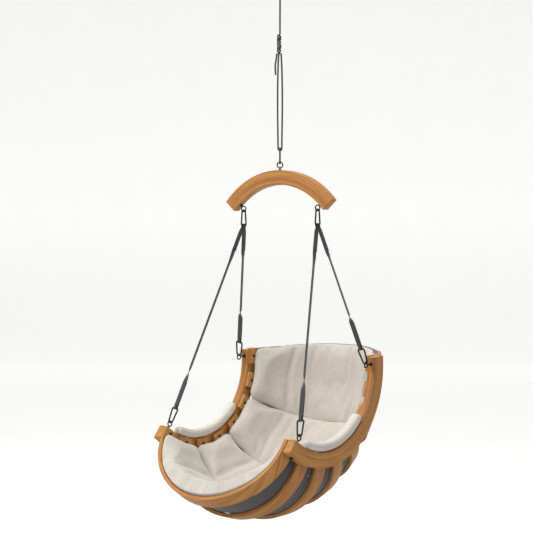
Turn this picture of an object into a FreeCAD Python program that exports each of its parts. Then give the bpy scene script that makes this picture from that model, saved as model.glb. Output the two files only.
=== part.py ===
"""Hanging swing chair: ceiling swivel, rope, curved spreader, four straps and a bent-wood seat.

Millimetres. The origin is the centre of the ceiling plate's top face, +Z up. The chair hangs
below it and faces -Y. X runs across the seat, so the left side is -X.
"""
import FreeCAD, Part
import math
import os

import Sketcher

V = FreeCAD.Vector
AXIS_X, AXIS_Y, AXIS_Z = V(1, 0, 0), V(0, 1, 0), V(0, 0, 1)

SIZES = {
    # the seat: two side arcs about one cross axis, and eight hoops between them
    "chair_axis_back": -161.1,
    "chair_axis_height": -1895.0,
    "overall_width": 800.0,
    "beam_width": 40.5,
    "arc_outer_radius": 425.5,
    "arc_inner_radius": 357.0,
    "arc_front_angle": -39.0,
    "arc_back_angle": 96.0,
    "beam_edge_round": 4.0,
    "hoop_count": 8,
    "hoop_first_angle": -34.4,
    "hoop_pitch": 17.93,
    "hoop_width": 73.5,
    "hoop_thickness": 18.0,
    "hoop_side_radius": 300.0,
    "hoop_crown_radius": 390.0,
    "hoop_side_height": 371.5,
    "hoop_end_height": 361.0,
    "hoop_edge_round": 3.0,
    "bolt_height": 382.0,
    "bolt_shank_radius": 4.0,
    "bolt_hole_radius": 4.1,
    "bolt_head_radius": 6.5,
    "bolt_head_thick": 3.5,
    "bolt_reach": 14.0,
    # cushions
    "cushion_gap": 1.0,
    "cushion_tip_width": 36.0,
    "front_pad_thick": 81.0,
    "seat_pad_thick": 73.0,
    "lumbar_pad_thick": 44.0,
    "back_pad_thick": 36.0,
    "cushion_front_angle": -38.0,
    "cushion_sweep": 32.6,
    "cushion_step": 33.1,
    "cushion_round": 16.0,
    "cushion_dimple_radius": 8.0,
    "cushion_dimple_depth": 6.0,
    "arm_cushion_width": 53.0,
    "arm_cushion_thick": 44.0,
    "arm_cushion_front_angle": -24.0,
    "arm_cushion_sweep": 74.0,
    "arm_cushion_round": 12.0,
    # the spreader beam
    "spreader_axis_height": -1416.0,
    "spreader_outer_radius": 418.0,
    "spreader_inner_radius": 350.0,
    "spreader_half_angle": 48.8,
    "spreader_eye_angle": 42.3,
    # eye bolts
    "eye_ring_radius": 13.0,
    "eye_wire_radius": 3.0,
    "eye_shank_radius": 4.0,
    "eye_hole_radius": 4.1,
    "eye_collar_radius": 8.0,
    "eye_collar_thick": 3.0,
    "collar_seat": 0.1,
    "spreader_eye_reach": 24.0,
    "spreader_eye_depth": 42.0,
    "front_eye_angle": -33.0,
    "front_eye_reach": 29.0,
    "back_eye_angle": 91.0,
    "back_eye_reach": 42.0,
    "nut_radius": 7.5,
    "nut_height": 7.0,
    "washer_radius": 10.0,
    "washer_thick": 1.5,
    "shank_end": 3.0,
    # snap hooks, length between the centre lines of their two end bars
    "hook_length": 72.0,
    "hook_wire_radius": 3.8,
    "hook_narrow_radius": 12.4,
    "hook_wide_half": 17.0,
    "hook_corner_radius": 9.0,
    "gate_pin_radius": 1.5,
    "gate_bore_radius": 1.55,
    "gate_slot_width": 3.4,
    "gate_tongue_thick": 3.0,
    "gate_start": 9.0,
    "gate_stop": 3.0,
    "gate_end_gap": 0.6,
    "gate_hinge_gap": 0.5,
    "gate_slot_length": 16.0,
    "gate_slot_start": 6.0,
    "gate_tongue_reach": 4.5,
    "gate_tongue_height": 4.6,
    "gate_tongue_start": 1.5,
    "link_gap": 0.8,
    # straps
    "strap_width": 25.0,
    "strap_thick": 2.5,
    "strap_loop_gap": 0.8,
    "strap_fold_length": 125.0,
    "strap_gather_length": 34.0,
    "strap_shared_width": 7.4,
    "strap_single_width": 15.0,
    "strap_side_offset": 4.3,
    # rope
    "rope_radius": 4.0,
    "rope_turn_radius": 8.4,
    "upper_knot_top": -164.0,
    "upper_knot_bottom": -198.0,
    "upper_knot_radius": 10.0,
    "main_knot_top": -369.0,
    "main_knot_bottom": -462.0,
    "main_knot_radius": 11.0,
    "main_knot_shift": 4.0,
    "rope_tuck": 3.0,
    "rope_pair_half": 5.0,
    "tail_length": 100.0,
    "tail_lean": 6.0,
    "link_turn": 39.4,
    # ceiling fitting
    "plate_radius": 50.0,
    "plate_thick": 6.0,
    "plate_bolt_circle": 76.0,
    "plate_hole_radius": 4.25,
    "housing_radius": 22.0,
    "housing_bore_radius": 17.5,
    "housing_depth": 28.0,
    "housing_floor": 5.0,
    "stem_radius": 6.0,
    "stem_hole_radius": 6.05,
    "bearing_radius": 17.0,
    "bearing_height": 9.0,
    "swivel_ring_radius": 14.0,
    "swivel_wire_radius": 4.0,
    "swivel_ring_height": -58.0,
    "bearing_bore_radius": 6.6,
    "ball_circle_radius": 12.0,
    "swivel_nut_height": 8.0,
    "swivel_nut_radius": 11.0,
    "swivel_nut_bore": 6.05,
    "swivel_stem_end": 9.0,
}
CUSHIONS = ("front", "seat", "lumbar", "back")

doc = FreeCAD.newDocument("swing_chair")
sheet = doc.addObject("Spreadsheet::Sheet", "Sizes")
for row, (alias, value) in enumerate(SIZES.items(), start=1):
    sheet.set("A%d" % row, alias)
    sheet.set("B%d" % row, str(value))
    sheet.setAlias("B%d" % row, alias)
doc.recompute()
nodes = []


def size(alias):
    """A driving dimension, read back from the sheet."""
    return float(getattr(sheet, alias))


def bind(thing, prop, expression):
    """Ties a property to cells of the sheet; a word that is an alias becomes its cell."""
    words = "".join(c if c.isalnum() or c == "_" else " " for c in expression).split()
    for word in sorted(set(words) & set(SIZES), key=len, reverse=True):
        expression = replace_word(expression, word, "Sizes." + word)
    thing.setExpression(prop, expression)


def replace_word(text, word, new):
    out, i = "", 0
    while i < len(text):
        end = i + len(word)
        clear_before = i == 0 or not (text[i - 1].isalnum() or text[i - 1] in "_.")
        clear_after = end >= len(text) or not (text[end].isalnum() or text[end] == "_")
        if text[i:end] == word and clear_before and clear_after:
            out, i = out + new, end
        else:
            out, i = out + text[i], i + 1
    return out


def node(thing, name, placement=None):
    """Names a finished sub-part and puts it in its place."""
    thing.Label = name
    if placement is not None:
        thing.Placement = placement
    nodes.append(thing)
    return thing


def turned(angle, axis=AXIS_X, at=V(0, 0, 0)):
    return FreeCAD.Placement(at, FreeCAD.Rotation(axis, angle))


def frame(at, x_axis, z_axis):
    """A placement whose local X and Z point along the two directions given."""
    return FreeCAD.Placement(at, FreeCAD.Rotation(x_axis, V(), z_axis, "ZXY"))


# ---------------------------------------------------------------- small building blocks


def part_object(kind, name, placement=None, **expressions):
    thing = doc.addObject("Part::" + kind, name)
    for prop, expression in expressions.items():
        bind(thing, prop, expression)
    if placement is not None:
        thing.Placement = placement
    return thing


def fuse(name, things):
    fused = doc.addObject("Part::MultiFuse", name)
    fused.Shapes = things
    return fused


def cut(name, base, tools):
    removed = doc.addObject("Part::Cut", name)
    removed.Base = base
    removed.Tool = tools[0] if len(tools) == 1 else compound(name + "_tools", tools)
    return removed


def compound(name, things):
    group = doc.addObject("Part::Compound", name)
    group.Links = things
    return group


def feature(name, shape, placement=None):
    thing = doc.addObject("Part::Feature", name)
    thing.Shape = shape
    if placement is not None:
        thing.Placement = placement
    return thing


def new_body(name):
    return doc.addObject("PartDesign::Body", name)


def plane(body, role):
    return next(f for f in body.Origin.OriginFeatures if f.Role == role)


def sketch_on(body, role, name):
    sketch = body.newObject("Sketcher::SketchObject", name)
    sketch.AttachmentSupport = [(plane(body, role), "")]
    sketch.MapMode = "FlatFace"
    return sketch


def closed_profile(sketch, segments):
    """Draws lines (start, end) and arcs (centre, radius, start angle, end angle), end to end.

    An arc whose start angle is above its end angle runs clockwise. Returns the indices.
    """
    ends = []
    for segment in segments:
        if len(segment) == 2:
            index = sketch.addGeometry(Part.LineSegment(V(*segment[0], 0), V(*segment[1], 0)), False)
            ends.append((index, 1, 2))
        else:
            centre, radius, first, last = segment
            low, high = sorted((math.radians(first), math.radians(last)))
            circle = Part.Circle(V(*centre, 0), AXIS_Z, radius)
            index = sketch.addGeometry(Part.ArcOfCircle(circle, low, high), False)
            ends.append((index, 1, 2) if first < last else (index, 2, 1))
    for here, there in zip(ends, ends[1:] + ends[:1]):
        sketch.addConstraint(Sketcher.Constraint("Coincident", here[0], here[2], there[0], there[1]))
    return [e[0] for e in ends]


def dimension(sketch, kind, args, cell, value=None):
    """A named driving constraint tied to a cell, or to an expression of cells."""
    value = size(cell) if value is None else value
    index = sketch.addConstraint(Sketcher.Constraint(kind, *args, value))
    label = "d%d" % index
    sketch.renameConstraint(index, label)
    bind(sketch, "Constraints." + label, cell)


def pad(body, sketch, length):
    made = body.newObject("PartDesign::Pad", "Pad")
    made.Profile = sketch
    made.Midplane = True
    bind(made, "Length", length)
    sketch.Visibility = False
    return made


def rounded(body, base, radius):
    """Rounds every edge of the body's last feature."""
    doc.recompute()
    made = body.newObject("PartDesign::Fillet", "Fillet")
    made.Base = (base, ["Edge%d" % (i + 1) for i in range(len(base.Shape.Edges))])
    bind(made, "Radius", radius)
    return made


# ---------------------------------------------------------------- beams


def polar(radius, angle):
    return (radius * math.cos(math.radians(angle)), radius * math.sin(math.radians(angle)))


def arched_beam(name, role, outer, inner, first, last):
    """A laminated beam bent to an arc: a ring sector in a sketch, padded across its width."""
    body = new_body(name)
    sketch = sketch_on(body, role, name + "_outline")
    r_out, r_in = size(outer), size(inner)
    arc_out, _, arc_in, _ = closed_profile(sketch, [
        ((0, 0), r_out, first, last),
        (polar(r_out, last), polar(r_in, last)),
        ((0, 0), r_in, last, first),
        (polar(r_in, first), polar(r_out, first)),
    ])
    sketch.addConstraint(Sketcher.Constraint("Coincident", arc_out, 3, -1, 1))
    sketch.addConstraint(Sketcher.Constraint("Coincident", arc_in, 3, -1, 1))
    dimension(sketch, "Radius", (arc_out,), outer)
    dimension(sketch, "Radius", (arc_in,), inner)
    rounded(body, pad(body, sketch, "beam_width"), "beam_edge_round")
    return body


# ---------------------------------------------------------------- eye bolts


def eye_bolt(name, reach, depth, placement):
    """A ring on a collared shank. The ring is centred on the origin in XZ and the shank points down."""
    ring = part_object("Torus", name + "_ring", turned(90), Radius1="eye_ring_radius", Radius2="eye_wire_radius")
    shank = part_object("Cylinder", name + "_shank", Radius="eye_shank_radius",
                        Height="%s + %s - eye_ring_radius" % (reach, depth))
    bind(shank, "Placement.Base.z", "-%s - %s" % (reach, depth))
    collar = part_object("Cylinder", name + "_collar", Radius="eye_collar_radius", Height="eye_collar_thick")
    bind(collar, "Placement.Base.z", "-" + reach)
    made = fuse(name, [ring, shank, collar])
    made.Placement = placement
    return made


def drill(name, radius, length, placement):
    """A cylinder along local Z from the placement's origin, used to cut a hole."""
    return part_object("Cylinder", name, placement, Radius=radius, Height=length)


# ---------------------------------------------------------------- snap hooks


def tangent_points():
    """Where the straight sides of a snap hook meet the arcs of its ends, in hook coordinates.

    The narrow end's bar crosses the local Z axis at 0 and the wide end's bar at -hook_length;
    local X points across the hook, to the gate's side. Returns the two points and the side's lean.
    """
    narrow, corner = size("hook_narrow_radius"), size("hook_corner_radius")
    top = V(0, 0, -narrow)
    low = V(size("hook_wide_half") - corner, 0, -(size("hook_length") - corner))
    run = low - top
    lean = math.asin((narrow - corner) / run.Length) + math.atan2(run.x, -run.z)
    out = V(math.cos(lean), 0, math.sin(lean))
    return top + out * narrow, low + out * corner, out


def mirrored_x(point):
    return V(-point.x, point.y, point.z)


def snap_hook_wire():
    """The centre line of the hook's frame, from the gate's hinge round the narrow end to its nose."""
    high, low, out = tangent_points()
    along = (low - high).normalize()
    narrow, corner = size("hook_narrow_radius"), size("hook_corner_radius")
    bottom = -size("hook_length")
    flat = size("hook_wide_half") - corner
    lean = math.asin(out.z)
    mid = corner * V(math.sin(math.pi / 4 + lean / 2), 0, -math.cos(math.pi / 4 + lean / 2))
    corner_mid = V(flat, 0, bottom + corner) + mid
    left_high, left_low = mirrored_x(high), mirrored_x(low)
    hinge_end = high + along * (size("gate_start") - size("hook_wire_radius") - size("gate_hinge_gap"))
    nose = low - along * size("gate_stop")
    return Part.Wire([
        Part.LineSegment(hinge_end, high).toShape(),
        Part.Arc(high, V(0, 0, 0), left_high).toShape(),
        Part.LineSegment(left_high, left_low).toShape(),
        Part.Arc(left_low, mirrored_x(corner_mid), V(-flat, 0, bottom)).toShape(),
        Part.LineSegment(V(-flat, 0, bottom), V(flat, 0, bottom)).toShape(),
        Part.Arc(V(flat, 0, bottom), corner_mid, low).toShape(),
        Part.LineSegment(low, nose).toShape(),
    ]), hinge_end, nose, along, out


def tube(wire, radius):
    """A round bar swept along a wire of tangent lines and arcs."""
    start = wire.Vertexes[0].Point
    edge = wire.OrderedEdges[0]
    direction = edge.tangentAt(edge.FirstParameter)
    if (edge.valueAt(edge.FirstParameter) - start).Length > 1e-6:
        start = edge.valueAt(edge.FirstParameter)
    profile = Part.Wire([Part.Circle(start, direction, radius).toShape()])
    return wire.makePipeShell([profile], True, False)


def local_box(along, out, origin, lengths, start):
    """A box with its first side along `along`, second along Y and third along `out`."""
    box = Part.makeBox(*lengths)
    box.translate(V(start, -lengths[1] / 2, -lengths[2] / 2))
    box.Placement = frame(origin, along, out).multiply(box.Placement)
    return box


def snap_hook(name, placement, body_name, pin_group):
    """A sprung hook: frame, gate and the gate's pin, each its own solid."""
    wire, hinge_end, nose, along, out = snap_hook_wire()
    radius, bore = size("hook_wire_radius"), size("gate_bore_radius")
    pin_at = hinge_end + along * (radius + size("gate_hinge_gap"))
    hole = Part.makeCylinder(bore, 4 * radius, pin_at - AXIS_Y * 2 * radius, AXIS_Y)
    tongue_sides = (radius + size("gate_tongue_reach"), size("gate_tongue_thick"), size("gate_tongue_height"))
    tongue = local_box(along, out, pin_at, tongue_sides, -radius - size("gate_tongue_start"))
    frame_shape = tube(wire, radius).fuse(tongue).cut(hole).removeSplitter()
    node(feature(name + "_frame", frame_shape, placement), body_name + "_frame")

    gate_length = (nose - pin_at).Length - size("gate_end_gap")
    gate = Part.makeSphere(radius, pin_at).fuse(Part.makeCylinder(radius, gate_length, pin_at, along))
    slot_sides = (size("gate_slot_length"), size("gate_slot_width"), 3 * radius)
    slot = local_box(along, out, pin_at, slot_sides, -size("gate_slot_start"))
    gate_shape = gate.removeSplitter().cut(slot).cut(hole)
    node(feature(name + "_gate", gate_shape, placement), body_name + "_gate")

    pin = Part.makeCylinder(size("gate_pin_radius"), 2 * radius, pin_at - AXIS_Y * radius, AXIS_Y)
    pin_group.append(feature(name + "_pin", pin, placement))
    hinge = placement.multVec(pin_at)
    axis = placement.Rotation.multVec(AXIS_Y)
    print("gate hinge %s at (%.2f, %.2f, %.2f) axis (%.5f, %.5f, %.5f)" % (body_name, *hinge, *axis))


# ---------------------------------------------------------------- ceiling fitting


def ceiling_fitting():
    plate = part_object("Cylinder", "plate_disc", Radius="plate_radius", Height="plate_thick")
    bind(plate, "Placement.Base.z", "-plate_thick")
    holes = [drill("plate_hole_%d" % k, "plate_hole_radius", "plate_thick * 3",
                   FreeCAD.Placement(V(*polar(size("plate_bolt_circle") / 2, 45 + 90 * k), -12), FreeCAD.Rotation()))
             for k in range(4)]
    node(cut("plate_cut", plate, holes), "ceiling_plate")

    shell = part_object("Cylinder", "housing_shell", Radius="housing_radius", Height="housing_depth")
    bind(shell, "Placement.Base.z", "-plate_thick - housing_depth")
    bore = part_object("Cylinder", "housing_bore", Radius="housing_bore_radius",
                       Height="housing_depth - housing_floor + 1")
    bind(bore, "Placement.Base.z", "-plate_thick - housing_depth + housing_floor")
    mouth = part_object("Cylinder", "housing_mouth", Radius="stem_hole_radius", Height="housing_depth")
    bind(mouth, "Placement.Base.z", "-plate_thick - housing_depth - 1")
    upper = cut("housing_hollow", shell, [bore])
    node(cut("housing_cut", upper, [mouth]), "swivel_housing")

    floor = -size("plate_thick") - size("housing_depth") + size("housing_floor")
    race_height = size("bearing_height") / 3
    races = []
    for k in (0, 2):
        race = part_object("Cylinder", "race_%d" % k, Radius="bearing_radius", Height="bearing_height / 3")
        race.Placement.Base = V(0, 0, floor + k * race_height)
        clear = drill("race_bore_%d" % k, "bearing_bore_radius", "bearing_height",
                      FreeCAD.Placement(V(0, 0, floor - 1 + k * race_height), FreeCAD.Rotation()))
        races.append(cut("race_cut_%d" % k, race, [clear]))
    balls = 12
    for k in range(balls):
        ball = part_object("Sphere", "ball_%d" % k, Radius="bearing_height / 6 - 0.02")
        ball.Placement.Base = V(*polar(size("ball_circle_radius"), 360.0 * k / balls), floor + 1.5 * race_height)
        races.append(ball)
    node(compound("thrust_bearing_set", races), "swivel_thrust_bearing")

    nut_floor = floor + size("bearing_height") + 0.05
    ring_z = size("swivel_ring_height")
    ring = part_object("Torus", "swivel_ring", FreeCAD.Placement(V(0, 0, ring_z), FreeCAD.Rotation(AXIS_X, 90)),
                       Radius1="swivel_ring_radius", Radius2="swivel_wire_radius")
    stem = part_object("Cylinder", "swivel_stem", Radius="stem_radius")
    stem_foot = ring_z + size("swivel_ring_radius")
    stem.Height = nut_floor + size("swivel_stem_end") - stem_foot
    stem.Placement.Base = V(0, 0, stem_foot)
    node(fuse("swivel_eye_fuse", [ring, stem]), "swivel_eye")
    hexagon = part_object("Prism", "swivel_nut_block", Height="swivel_nut_height",
                          Circumradius="swivel_nut_radius")
    hexagon.Placement.Base = V(0, 0, nut_floor)
    through = drill("swivel_nut_hole", "swivel_nut_bore", "swivel_nut_height * 2",
                    FreeCAD.Placement(V(0, 0, nut_floor - 5), FreeCAD.Rotation()))
    node(cut("swivel_nut_cut", hexagon, [through]), "swivel_nut")


# ---------------------------------------------------------------- rope


def link_axes():
    """Across and along the rope's hook, which hangs turned about Z from the chair's own axes."""
    turn = math.radians(size("link_turn"))
    return V(math.cos(turn), math.sin(turn), 0), V(math.sin(turn), -math.cos(turn), 0)


def tangent_from(point, centre, radius, side):
    """The point where a line from `point` touches a circle, in (across, height) coordinates."""
    dx, dz = point[0] - centre[0], point[1] - centre[1]
    reach = math.hypot(dx, dz)
    angle = math.atan2(dz, dx) + side * math.acos(radius / reach)
    return (centre[0] + radius * math.cos(angle), centre[1] + radius * math.sin(angle))


def looped_route(across, start, bar, end, over):
    """A rope up (or down) to a bar, round its far side and back: two runs and one arc."""
    radius = size("rope_turn_radius")
    first = tangent_from(start, bar, radius, -over)
    last = tangent_from(end, bar, radius, over)
    far = (bar[0], bar[1] + over * radius)

    def place(point):
        return across * point[0] + V(0, 0, point[1])

    arc = Part.Arc(place(first), place(far), place(last)).toShape()
    runs = [Part.LineSegment(place(start), place(first)).toShape(), arc,
            Part.LineSegment(place(last), place(end)).toShape()]
    return Part.Wire(runs)


def rope_tube(name, wire, placement=None):
    shape = tube(wire, size("rope_radius"))
    section = math.pi * size("rope_radius") ** 2
    print("%s: length %.1f, volume over section times length %.4f"
          % (name, wire.Length, shape.Volume / (section * wire.Length)))
    radii = [e.Curve.Radius for e in wire.Edges if isinstance(e.Curve, Part.Circle)]
    print("  arc radii:", ["%.1f" % r for r in radii])
    node(feature(name, shape, placement), name)


def knot(name, radius, top, bottom, across):
    """A rounded lump the size of the knot."""
    height = size(top) - size(bottom)
    block = part_object("Cylinder", name + "_block", Radius=radius, Height="%s - %s" % (top, bottom))
    doc.recompute()
    lump = doc.addObject("Part::Fillet", name + "_lump")
    lump.Base = block
    soft = size(radius) * 0.45
    lump.Edges = [(i + 1, soft, soft) for i, e in enumerate(block.Shape.Edges)
                  if isinstance(e.Curve, Part.Circle)]
    node(lump, name, FreeCAD.Placement(across + V(0, 0, size(top) - height), FreeCAD.Rotation()))


def rope_parts(ceiling_bar, hook_bar):
    """The rope's runs and knots. Each run's cut end sits a little way inside its knot."""
    across, _ = link_axes()
    tuck = size("rope_tuck")
    upper_top, upper_low = size("upper_knot_top") - tuck, size("upper_knot_bottom") + tuck
    main_top, main_low = size("main_knot_top") - tuck, size("main_knot_bottom") + tuck
    half = size("rope_pair_half")
    rope_tube("rope_upper_loop", looped_route(AXIS_X, (half, upper_top), (0.0, ceiling_bar), (-half, upper_top), 1))
    knot("rope_upper_knot", "upper_knot_radius", "upper_knot_top", "upper_knot_bottom", V())
    strand = Part.Wire([Part.LineSegment(V(0, 0, upper_low), V(0, 0, main_top)).toShape()])
    rope_tube("rope_strand", strand)
    shift = -size("main_knot_shift")
    knot("rope_knot", "main_knot_radius", "main_knot_top", "main_knot_bottom", across * shift)
    rope_tube("rope_long_loop", looped_route(across, (-half, main_low), (0.0, hook_bar), (half, main_low), -1))
    tail_x = -half - 2.2 * size("rope_radius")
    lean = size("tail_lean")
    foot = main_low - size("tail_length")
    tail = Part.Wire([Part.LineSegment(across * tail_x + V(0, 0, main_low),
                                       across * (tail_x - lean) + V(0, 0, foot)).toShape()])
    rope_tube("rope_tail", tail)


# ---------------------------------------------------------------- straps


def rectangle_at(centre, width_dir, thick_dir, width, thick):
    corners = [centre + width_dir * (sw * width / 2) + thick_dir * (st * thick / 2)
               for sw, st in ((-1, -1), (1, -1), (1, 1), (-1, 1))]
    return Part.makePolygon(corners + corners[:1])


def perpendicular(direction, along):
    """The part of a direction that is square to `along`, at unit length."""
    return (direction - along * direction.dot(along)).normalize()


def strap_shape(top, bottom, top_width_dir, bottom_width_dir, top_gather, bottom_gather):
    """Webbing between two bars: a loop round each, a sewn double end, and a twist between them."""
    along = (bottom - top).normalize()
    length = (bottom - top).Length
    thick, full = size("strap_thick"), size("strap_width")
    inner = size("hook_wire_radius") + size("strap_loop_gap")
    outer = inner + thick
    gather, fold = size("strap_gather_length"), size("strap_fold_length")
    first, last = perpendicular(top_width_dir, along), perpendicular(bottom_width_dir, along)
    turn = math.degrees(first.getAngle(last))
    if first.cross(last).dot(along) < 0:
        turn = -turn
    # distance from the top bar, width, thickness, share of the twist
    steps = 8
    near = inner + thick * 0.4
    stations = [(near, top_gather, 2 * thick + 1.5, 0), (gather, full, 2 * thick, 0), (fold, full, 2 * thick, 0)]
    middle = length - 2 * fold - 4
    stations += [(fold + 2 + middle * k / steps, full, thick, k / steps) for k in range(steps + 1)]
    stations += [(length - fold, full, 2 * thick, 1), (length - gather, full, 2 * thick, 1),
                 (length - near, bottom_gather, 2 * thick + 1.5, 1)]
    sections = []
    for distance, width, depth, share in stations:
        across = FreeCAD.Rotation(along, turn * share).multVec(first)
        sections.append(rectangle_at(top + along * distance, across, along.cross(across), width, depth))
    band = Part.makeLoft(sections, True, True)
    for bar, direction, width in ((top, top_width_dir, top_gather), (bottom, bottom_width_dir, bottom_gather)):
        ring = Part.makeCylinder(outer, width, bar - direction * (width / 2), direction)
        hole = Part.makeCylinder(inner, width + 2, bar - direction * (width / 2 + 1), direction)
        band = band.fuse(ring).cut(hole)
    return band.removeSplitter()


# ---------------------------------------------------------------- build: hanging gear

seat_axis = V(0, size("chair_axis_back"), size("chair_axis_height"))
wire_r, eye_r = size("hook_wire_radius"), size("eye_wire_radius")
gap, hook_len = size("link_gap"), size("hook_length")

ceiling_fitting()
swivel_contact = size("swivel_ring_height") - size("swivel_ring_radius")
ceiling_bar_top = swivel_contact + size("swivel_wire_radius") + wire_r + gap
ceiling_pins = []
snap_hook("ceiling_hook", frame(V(0, 0, ceiling_bar_top), AXIS_Y, AXIS_Z), "ceiling_hook", ceiling_pins)
node(ceiling_pins[0], "ceiling_hook_pin")
ceiling_bar_low = ceiling_bar_top - hook_len

across_link, along_link = link_axes()
spreader_axis = V(0, 0, size("spreader_axis_height"))
top_eye = spreader_axis + V(0, 0, size("spreader_outer_radius") + size("spreader_eye_reach"))
rope_bar_low = top_eye.z + size("eye_ring_radius") - eye_r - wire_r - gap
rope_bar_high = rope_bar_low + hook_len
rope_parts(ceiling_bar_low, rope_bar_high)
rope_pins = []
upside_down = frame(V(0, 0, rope_bar_low), along_link, AXIS_Z * -1)
snap_hook("rope_hook", upside_down, "rope_hook", rope_pins)
node(rope_pins[0], "rope_hook_pin")

# the spreader hangs by its top eye on the rope hook's lower bar
spreader = arched_beam("spreader_arch", "XZ_Plane", "spreader_outer_radius", "spreader_inner_radius",
                       90 - size("spreader_half_angle"), 90 + size("spreader_half_angle"))
spreader.Placement = FreeCAD.Placement(spreader_axis, FreeCAD.Rotation())
spreader_holes = [drill("top_eye_hole", "eye_hole_radius", "spreader_eye_depth + 2",
                        frame(top_eye - AXIS_Z * size("spreader_eye_reach"), AXIS_X, AXIS_Z * -1))]
lower_eyes = []
lower_eye_centres = {}
for side in (-1, 1):
    lean = math.radians(size("spreader_eye_angle")) * side
    radial = V(math.sin(lean), 0, math.cos(lean))
    tangent = V(math.cos(lean), 0, -math.sin(lean))
    surface = spreader_axis + radial * size("spreader_inner_radius")
    centre = surface - radial * (size("spreader_eye_reach") + size("collar_seat"))
    lower_eye_centres[side] = centre
    lower_eyes.append(eye_bolt("lower_eye_%d" % (side + 1), "spreader_eye_reach", "spreader_eye_depth",
                               frame(centre, tangent * -1, radial * -1)))
    spreader_holes.append(drill("lower_eye_hole_%d" % (side + 1), "eye_hole_radius", "spreader_eye_depth + 2",
                                frame(surface - radial, tangent, radial)))
node(cut("spreader_cut", spreader, spreader_holes), "spreader_bar")
node(eye_bolt("top_eye", "spreader_eye_reach", "spreader_eye_depth", frame(top_eye, across_link, AXIS_Z)),
     "spreader_top_eye_bolt")
node(compound("lower_eye_set", lower_eyes), "spreader_lower_eye_bolts")
print("rope hook bars z %.2f and %.2f, top eye contact z %.2f"
      % (rope_bar_high, rope_bar_low, top_eye.z + size("eye_ring_radius")))

# ---------------------------------------------------------------- build: straps and their hooks

SIDE_NAMES = {-1: "left", 1: "right"}
chair_eyes = []
chair_nuts = []
arc_holes = {-1: [], 1: []}
beam_mid = (size("overall_width") - size("beam_width")) / 2
for side, side_name in SIDE_NAMES.items():
    contact = lower_eye_centres[side] - AXIS_Z * size("eye_ring_radius")
    bar_high = contact + AXIS_Z * (eye_r + wire_r + gap)
    bar_low = bar_high - AXIS_Z * hook_len
    pins = []
    snap_hook("upper_hook_%s" % side_name, frame(bar_high, AXIS_Y, AXIS_Z), "carabiner_upper_%s" % side_name, pins)
    node(pins[0], "carabiner_upper_%s_pin" % side_name)
    print("%s upper contact (%.2f, %.2f, %.2f)  strap apex (%.2f, %.2f, %.2f)"
          % (side_name, *contact, *bar_low))
    pins = []
    for end, angle_cell, reach_cell in (("front", "front_eye_angle", "front_eye_reach"),
                                        ("back", "back_eye_angle", "back_eye_reach")):
        angle = math.radians(size(angle_cell))
        radial = V(0, math.sin(angle), -math.cos(angle))
        along_arc = V(0, math.cos(angle), math.sin(angle))
        surface = seat_axis + AXIS_X * (side * beam_mid) + radial * (size("arc_inner_radius") - 0.2)
        ring = surface - radial * size(reach_cell)
        name = "%s_%s" % (end, side_name)
        chair_eyes.append(eye_bolt("eye_" + name, reach_cell,
                                   "(arc_outer_radius - arc_inner_radius + nut_height + shank_end)",
                                   frame(ring, along_arc, radial * -1)))
        arc_holes[side].append(drill("eye_hole_" + name, "eye_hole_radius",
                                     "(arc_outer_radius - arc_inner_radius) + 4",
                                     frame(surface - radial * 2, along_arc, radial)))
        outside = surface + radial * (size("arc_outer_radius") - size("arc_inner_radius") + 0.4)
        seat_frame = frame(outside, along_arc, radial)
        washer = part_object("Cylinder", "washer_" + name, seat_frame, Radius="washer_radius", Height="washer_thick")
        nut = part_object("Prism", "nut_" + name,
                          frame(outside + radial * size("washer_thick"), along_arc, radial),
                          Circumradius="nut_radius", Height="nut_height")
        bore = drill("nut_bore_" + name, "eye_shank_radius + 0.05", "nut_height + 12",
                     frame(outside - radial * 2, along_arc, radial))
        chair_nuts.append(cut("nut_cut_" + name, fuse("nut_fuse_" + name, [washer, nut]), [bore]))

        # the hook lies along the strap, and its narrow end bears on the ring
        offset = size("strap_side_offset") * (-1 if end == "front" else 1)
        apex = bar_low + AXIS_Y * offset
        pull = (apex - ring).normalize()
        flat_pull = V(0, pull.y, pull.z).normalize()
        bar_inside = ring + flat_pull * (size("eye_ring_radius") - eye_r - wire_r - gap)
        pull = (apex - bar_inside).normalize()
        across_hook = perpendicular(AXIS_X, pull)
        bar_outside = bar_inside + pull * hook_len
        snap_hook("hook_" + name, frame(bar_inside, across_hook * -side, pull * -1), "carabiner_" + name, pins)
        strap = strap_shape(apex, bar_outside, AXIS_Y, across_hook * -1,
                            size("strap_shared_width"), size("strap_single_width"))
        node(feature("strap_" + name, strap), "strap_" + name)
        print("strap %s: bar to bar %.1f, ring contact (%.2f, %.2f, %.2f)" % (
            name, (bar_outside - apex).Length, *(ring + flat_pull * size("eye_ring_radius"))))
    node(compound("pins_" + side_name, pins), "carabiner_pins_" + side_name)

# ---------------------------------------------------------------- build: the seat

seat = FreeCAD.Placement(seat_axis, FreeCAD.Rotation())
hoop_angles = [size("hoop_first_angle") + k * size("hoop_pitch") for k in range(int(size("hoop_count")))]
inner_face = size("overall_width") / 2 - size("beam_width")
for side, side_name in SIDE_NAMES.items():
    arc = arched_beam("arc_beam_" + side_name, "YZ_Plane", "arc_outer_radius", "arc_inner_radius",
                      size("arc_front_angle") - 90, size("arc_back_angle") - 90)
    arc.Placement = FreeCAD.Placement(seat_axis + AXIS_X * (side * beam_mid), FreeCAD.Rotation())
    for k, angle in enumerate(hoop_angles):
        radial = V(0, math.sin(math.radians(angle)), -math.cos(math.radians(angle)))
        start = seat_axis + AXIS_X * (side * (inner_face - 1)) + radial * size("bolt_height")
        arc_holes[side].append(drill("arc_bolt_hole_%s_%d" % (side_name, k), "bolt_hole_radius", "bolt_reach + 1.5",
                                     frame(start, radial, AXIS_X * side)))
    node(cut("arc_cut_" + side_name, arc, arc_holes[side]), "side_arc_" + side_name)
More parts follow.
